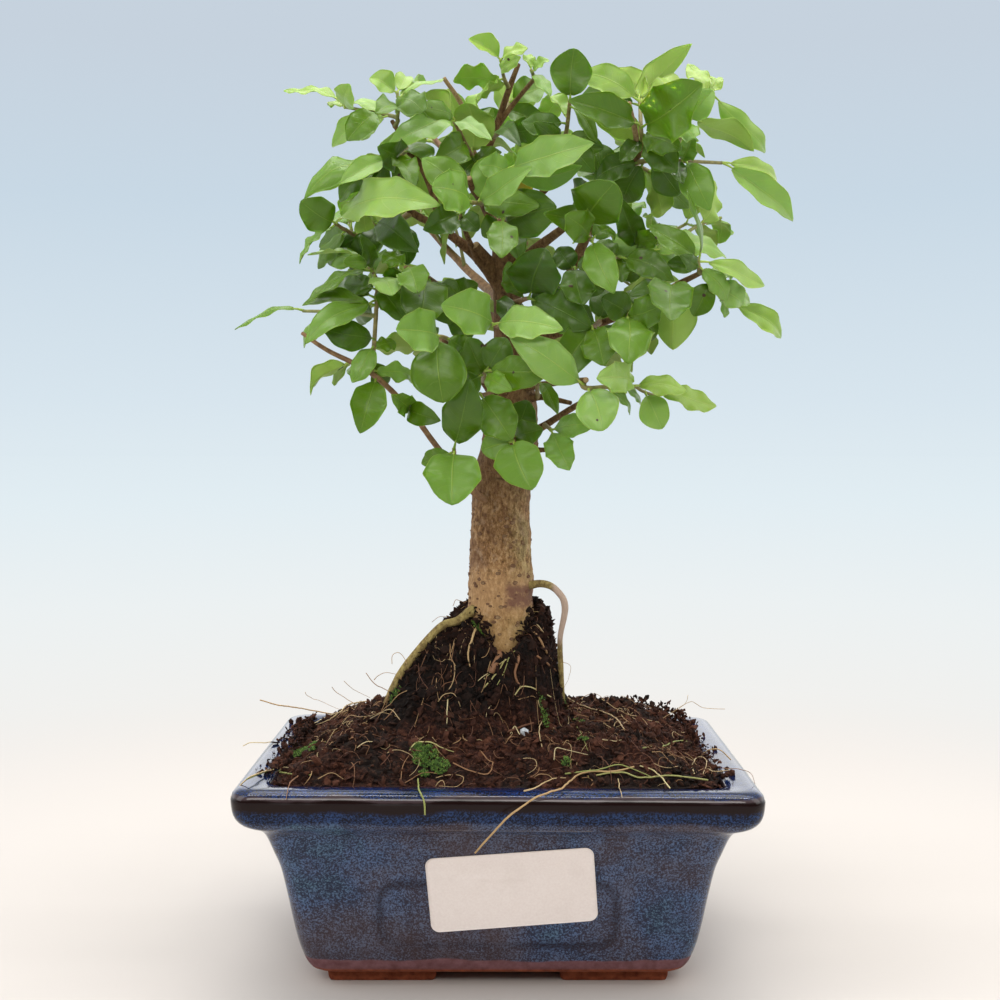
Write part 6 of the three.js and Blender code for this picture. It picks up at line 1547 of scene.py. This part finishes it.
for k in range(FINE_HAIRS):
    x, y = litter_draw.uniform(-64, 64), litter_draw.uniform(-47, 47)
    if k % 6 == 0:
        turn, out = litter_draw.uniform(0, math.tau), litter_draw.uniform(20, 36)
        x, y = SOIL_CENTRE_X + out * math.cos(turn), out * math.sin(turn)
    way = litter_draw.uniform(0, math.tau)
    curl = litter_draw.uniform(-0.75, 0.75)
    step = litter_draw.uniform(0.7, 2.1)
    high = litter_draw.uniform(0.2, 1.7)
    points = []
    for i in range(6):
        if abs(x) > SOIL_LONG or abs(y) > SOIL_WIDE:
            break
        lift = 0.15 + high * math.sin(math.pi * i / 5)
        points.append((x + POT_X, y + POT_Y, soil_height(x, y) + crumbled(x, y, 70) * 0.4 + lift, 0))
        x, y, way = x + step * math.cos(way), y + step * math.sin(way), way + curl
    if len(points) < 4:
        continue
    steps = curve_through(points, 0.9)
    radius = litter_draw.uniform(0.07, 0.17)
    skin, faces = tube_skin(steps[:, :3], np.linspace(radius, radius * 0.5, len(steps)), 4, 0.5, seed=k)
    strands.add(skin, faces, litter_draw.choice((0.0, 0.0, 0.05, 0.1, 0.2, 0.3, 0.45)))

straw, straw_tree, straw_shader = principled("dry_rootlets")
on_straw = node(straw_tree, "ShaderNodeTexCoord").outputs["Object"]
straw_grain = grain(straw_tree, on_straw, 900, 3)
straw_tone = node(straw_tree, "ShaderNodeAttribute", attribute_name="shade").outputs["Fac"]
straw_tone = sum_of(straw_tree, straw_tone, times(straw_tree, straw_grain, 0.12))
straw_colour = ramp(straw_tree, straw_tone, [(0.04, (0.13, 0.045, 0.022)), (0.25, (0.34, 0.17, 0.075)),
                                             (0.45, (0.5, 0.33, 0.15)), (0.72, (0.72, 0.6, 0.34)),
                                             (0.9, (0.5, 0.44, 0.17)), (1.05, (0.3, 0.33, 0.09))])
feed(straw_tree, straw_shader, Base_Color=straw_colour, bump=straw_grain, bump_distance=0.0002,
     bump_strength=0.5)
straw_shader.inputs["Roughness"].default_value = 0.6
rootlets = strands.piece("rootlets_and_straw", straw)

tufts = Heap()
for across, down, spread, blades in MOSS_TUFTS:
    middle = on_soil(across, down)
    for k in range(2 * blades):
        turn, out = litter_draw.uniform(0, math.tau), spread * math.sqrt(litter_draw.random())
        x, y = middle[0] + out * math.cos(turn) - POT_X, middle[1] + 0.8 * out * math.sin(turn) - POT_Y
        if abs(x) > SEEN_LONG or abs(y) > SEEN_WIDE:
            continue
        foot = np.array([x + POT_X, y + POT_Y, soil_height(x, y) + crumbled(x, y, 70) * 0.35 + 0.8])
        lean = np.array([litter_draw.uniform(-0.7, 0.7), litter_draw.uniform(-0.7, 0.7), 1])
        tall = litter_draw.uniform(0.4, 1.1) * (1.1 - 0.5 * out / spread)
        wide = litter_draw.uniform(0.15, 0.32)
        ring = [foot + wide * np.array([math.cos(a), math.sin(a), 0]) for a in (0.3, 2.4, 4.5)]
        belly = [foot + lean * tall * 0.5 + (p - foot) * 1.2 for p in ring]
        faces = quads_between(2, 3) + [(3, 4, 6), (4, 5, 6), (5, 3, 6)]
        tufts.add(ring + belly + [foot + lean * tall], faces, litter_draw.random())
moss, moss_tree, moss_shader = principled("moss")
moss_tone = node(moss_tree, "ShaderNodeAttribute", attribute_name="shade").outputs["Fac"]
moss_colour = ramp(moss_tree, moss_tone, [(0.0, (0.022, 0.05, 0.008)), (0.6, (0.075, 0.155, 0.02)),
                                          (1.0, (0.19, 0.31, 0.045))])
feed(moss_tree, moss_shader, Base_Color=moss_colour)
moss_shader.inputs["Roughness"].default_value = 0.8
moss_tufts = tufts.piece("moss_tufts", moss, smooth=False)

stone_draw = random.Random(3)
stone_middle = on_soil(*STONE_PLACE) + (0, 0, 0.7)
stone_points = [stone_middle + corner * (1.6, 1.2, 2.1) * stone_draw.uniform(0.7, 1.2)
                for corner in CRUMB_CORNERS]
quartz, quartz_tree, quartz_shader = principled("white_stone")
stone_grain = grain(quartz_tree, node(quartz_tree, "ShaderNodeTexCoord").outputs["Object"], 700, 3)
stone_colour = ramp(quartz_tree, stone_grain, [(0.35, (0.4, 0.43, 0.47)), (0.65, (0.8, 0.84, 0.9))])
feed(quartz_tree, quartz_shader, Base_Color=stone_colour)
quartz_shader.inputs["Roughness"].default_value = 0.4
stone = mesh_piece("white_stone", stone_points, CRUMB_SIDES, quartz, smooth=False)

# The paper label on the front wall: a blank self-adhesive sheet with rounded corners, 0.15 mm thick. It is
# pressed on a little askew and follows the wall and the soft relief under it. One corner is just lifting.
LABEL = {"left": -19.6, "bottom": 18.3, "width": 49.4, "height": 23.6, "tilt": 0.08, "corner": 2.6,
         "thick": 0.15}
LABEL_RINGS = 24
LABEL_AROUND = 40

pot_skin = BVHTree.FromPolygons(np.asarray(pot_points).tolist(), pot_faces)
label_points = []
for side in (1, 0):
    for ring in range(LABEL_RINGS):
        share = ring / (LABEL_RINGS - 1)
        for k in range(4 * LABEL_AROUND):
            corner, step = divmod(k, LABEL_AROUND)
            sx, sy = ((1, -1), (1, 1), (-1, 1), (-1, -1))[corner]
            turn = math.radians(-90 + 90 * corner + 90 * step / (LABEL_AROUND - 1))
            across = sx * (LABEL["width"] / 2 - LABEL["corner"]) + LABEL["corner"] * math.cos(turn)
            up = sy * (LABEL["height"] / 2 - LABEL["corner"]) + LABEL["corner"] * math.sin(turn)
            across, up = across * share + LABEL["width"] / 2, up * share + LABEL["height"] / 2
            x = LABEL["left"] + across * math.cos(LABEL["tilt"]) - up * math.sin(LABEL["tilt"])
            z = LABEL["bottom"] + up * math.cos(LABEL["tilt"]) + across * math.sin(LABEL["tilt"])
            lift = 0.06 + side * LABEL["thick"] + 0.25 * ease((share - 0.93) / 0.07) * (corner == 1)
            wall = pot_skin.ray_cast((POT_X + x, POT_Y - 100, z), (0, 1, 0))[0]
            label_points.append((POT_X + x, wall[1] - lift, z))
label_count = 4 * LABEL_AROUND
label_faces = quads_between(LABEL_RINGS, label_count)
label_back = [tuple(LABEL_RINGS * label_count + k for k in face)[::-1] for face in label_faces]
outer_front = (LABEL_RINGS - 1) * label_count
outer_back = (2 * LABEL_RINGS - 1) * label_count
label_edge = []
for k in range(label_count):
    onward = (k + 1) % label_count
    label_edge.append((outer_front + k, outer_back + k, outer_back + onward, outer_front + onward))
paper, paper_tree, paper_shader = principled("blank_paper")
on_paper = node(paper_tree, "ShaderNodeTexCoord").outputs["Object"]
paper_fibre = grain(paper_tree, on_paper, 1500, 4)
paper_soil = between(paper_tree, grain(paper_tree, on_paper, 90, 4), 0.45, 0.75)
paper_white = ramp(paper_tree, paper_fibre, [(0.3, (0.84, 0.75, 0.71)), (0.7, (0.9, 0.82, 0.78))])
paper_colour = blend_colour(paper_tree, times(paper_tree, paper_soil, 0.2), paper_white, (0.66, 0.57, 0.52))
feed(paper_tree, paper_shader, Base_Color=paper_colour,
     bump=paper_fibre, bump_distance=0.00003, bump_strength=0.4)
paper_shader.inputs["Roughness"].default_value = 0.5
label = mesh_piece("blank_label", label_points, label_faces + label_back + label_edge, paper)
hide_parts("sticker")
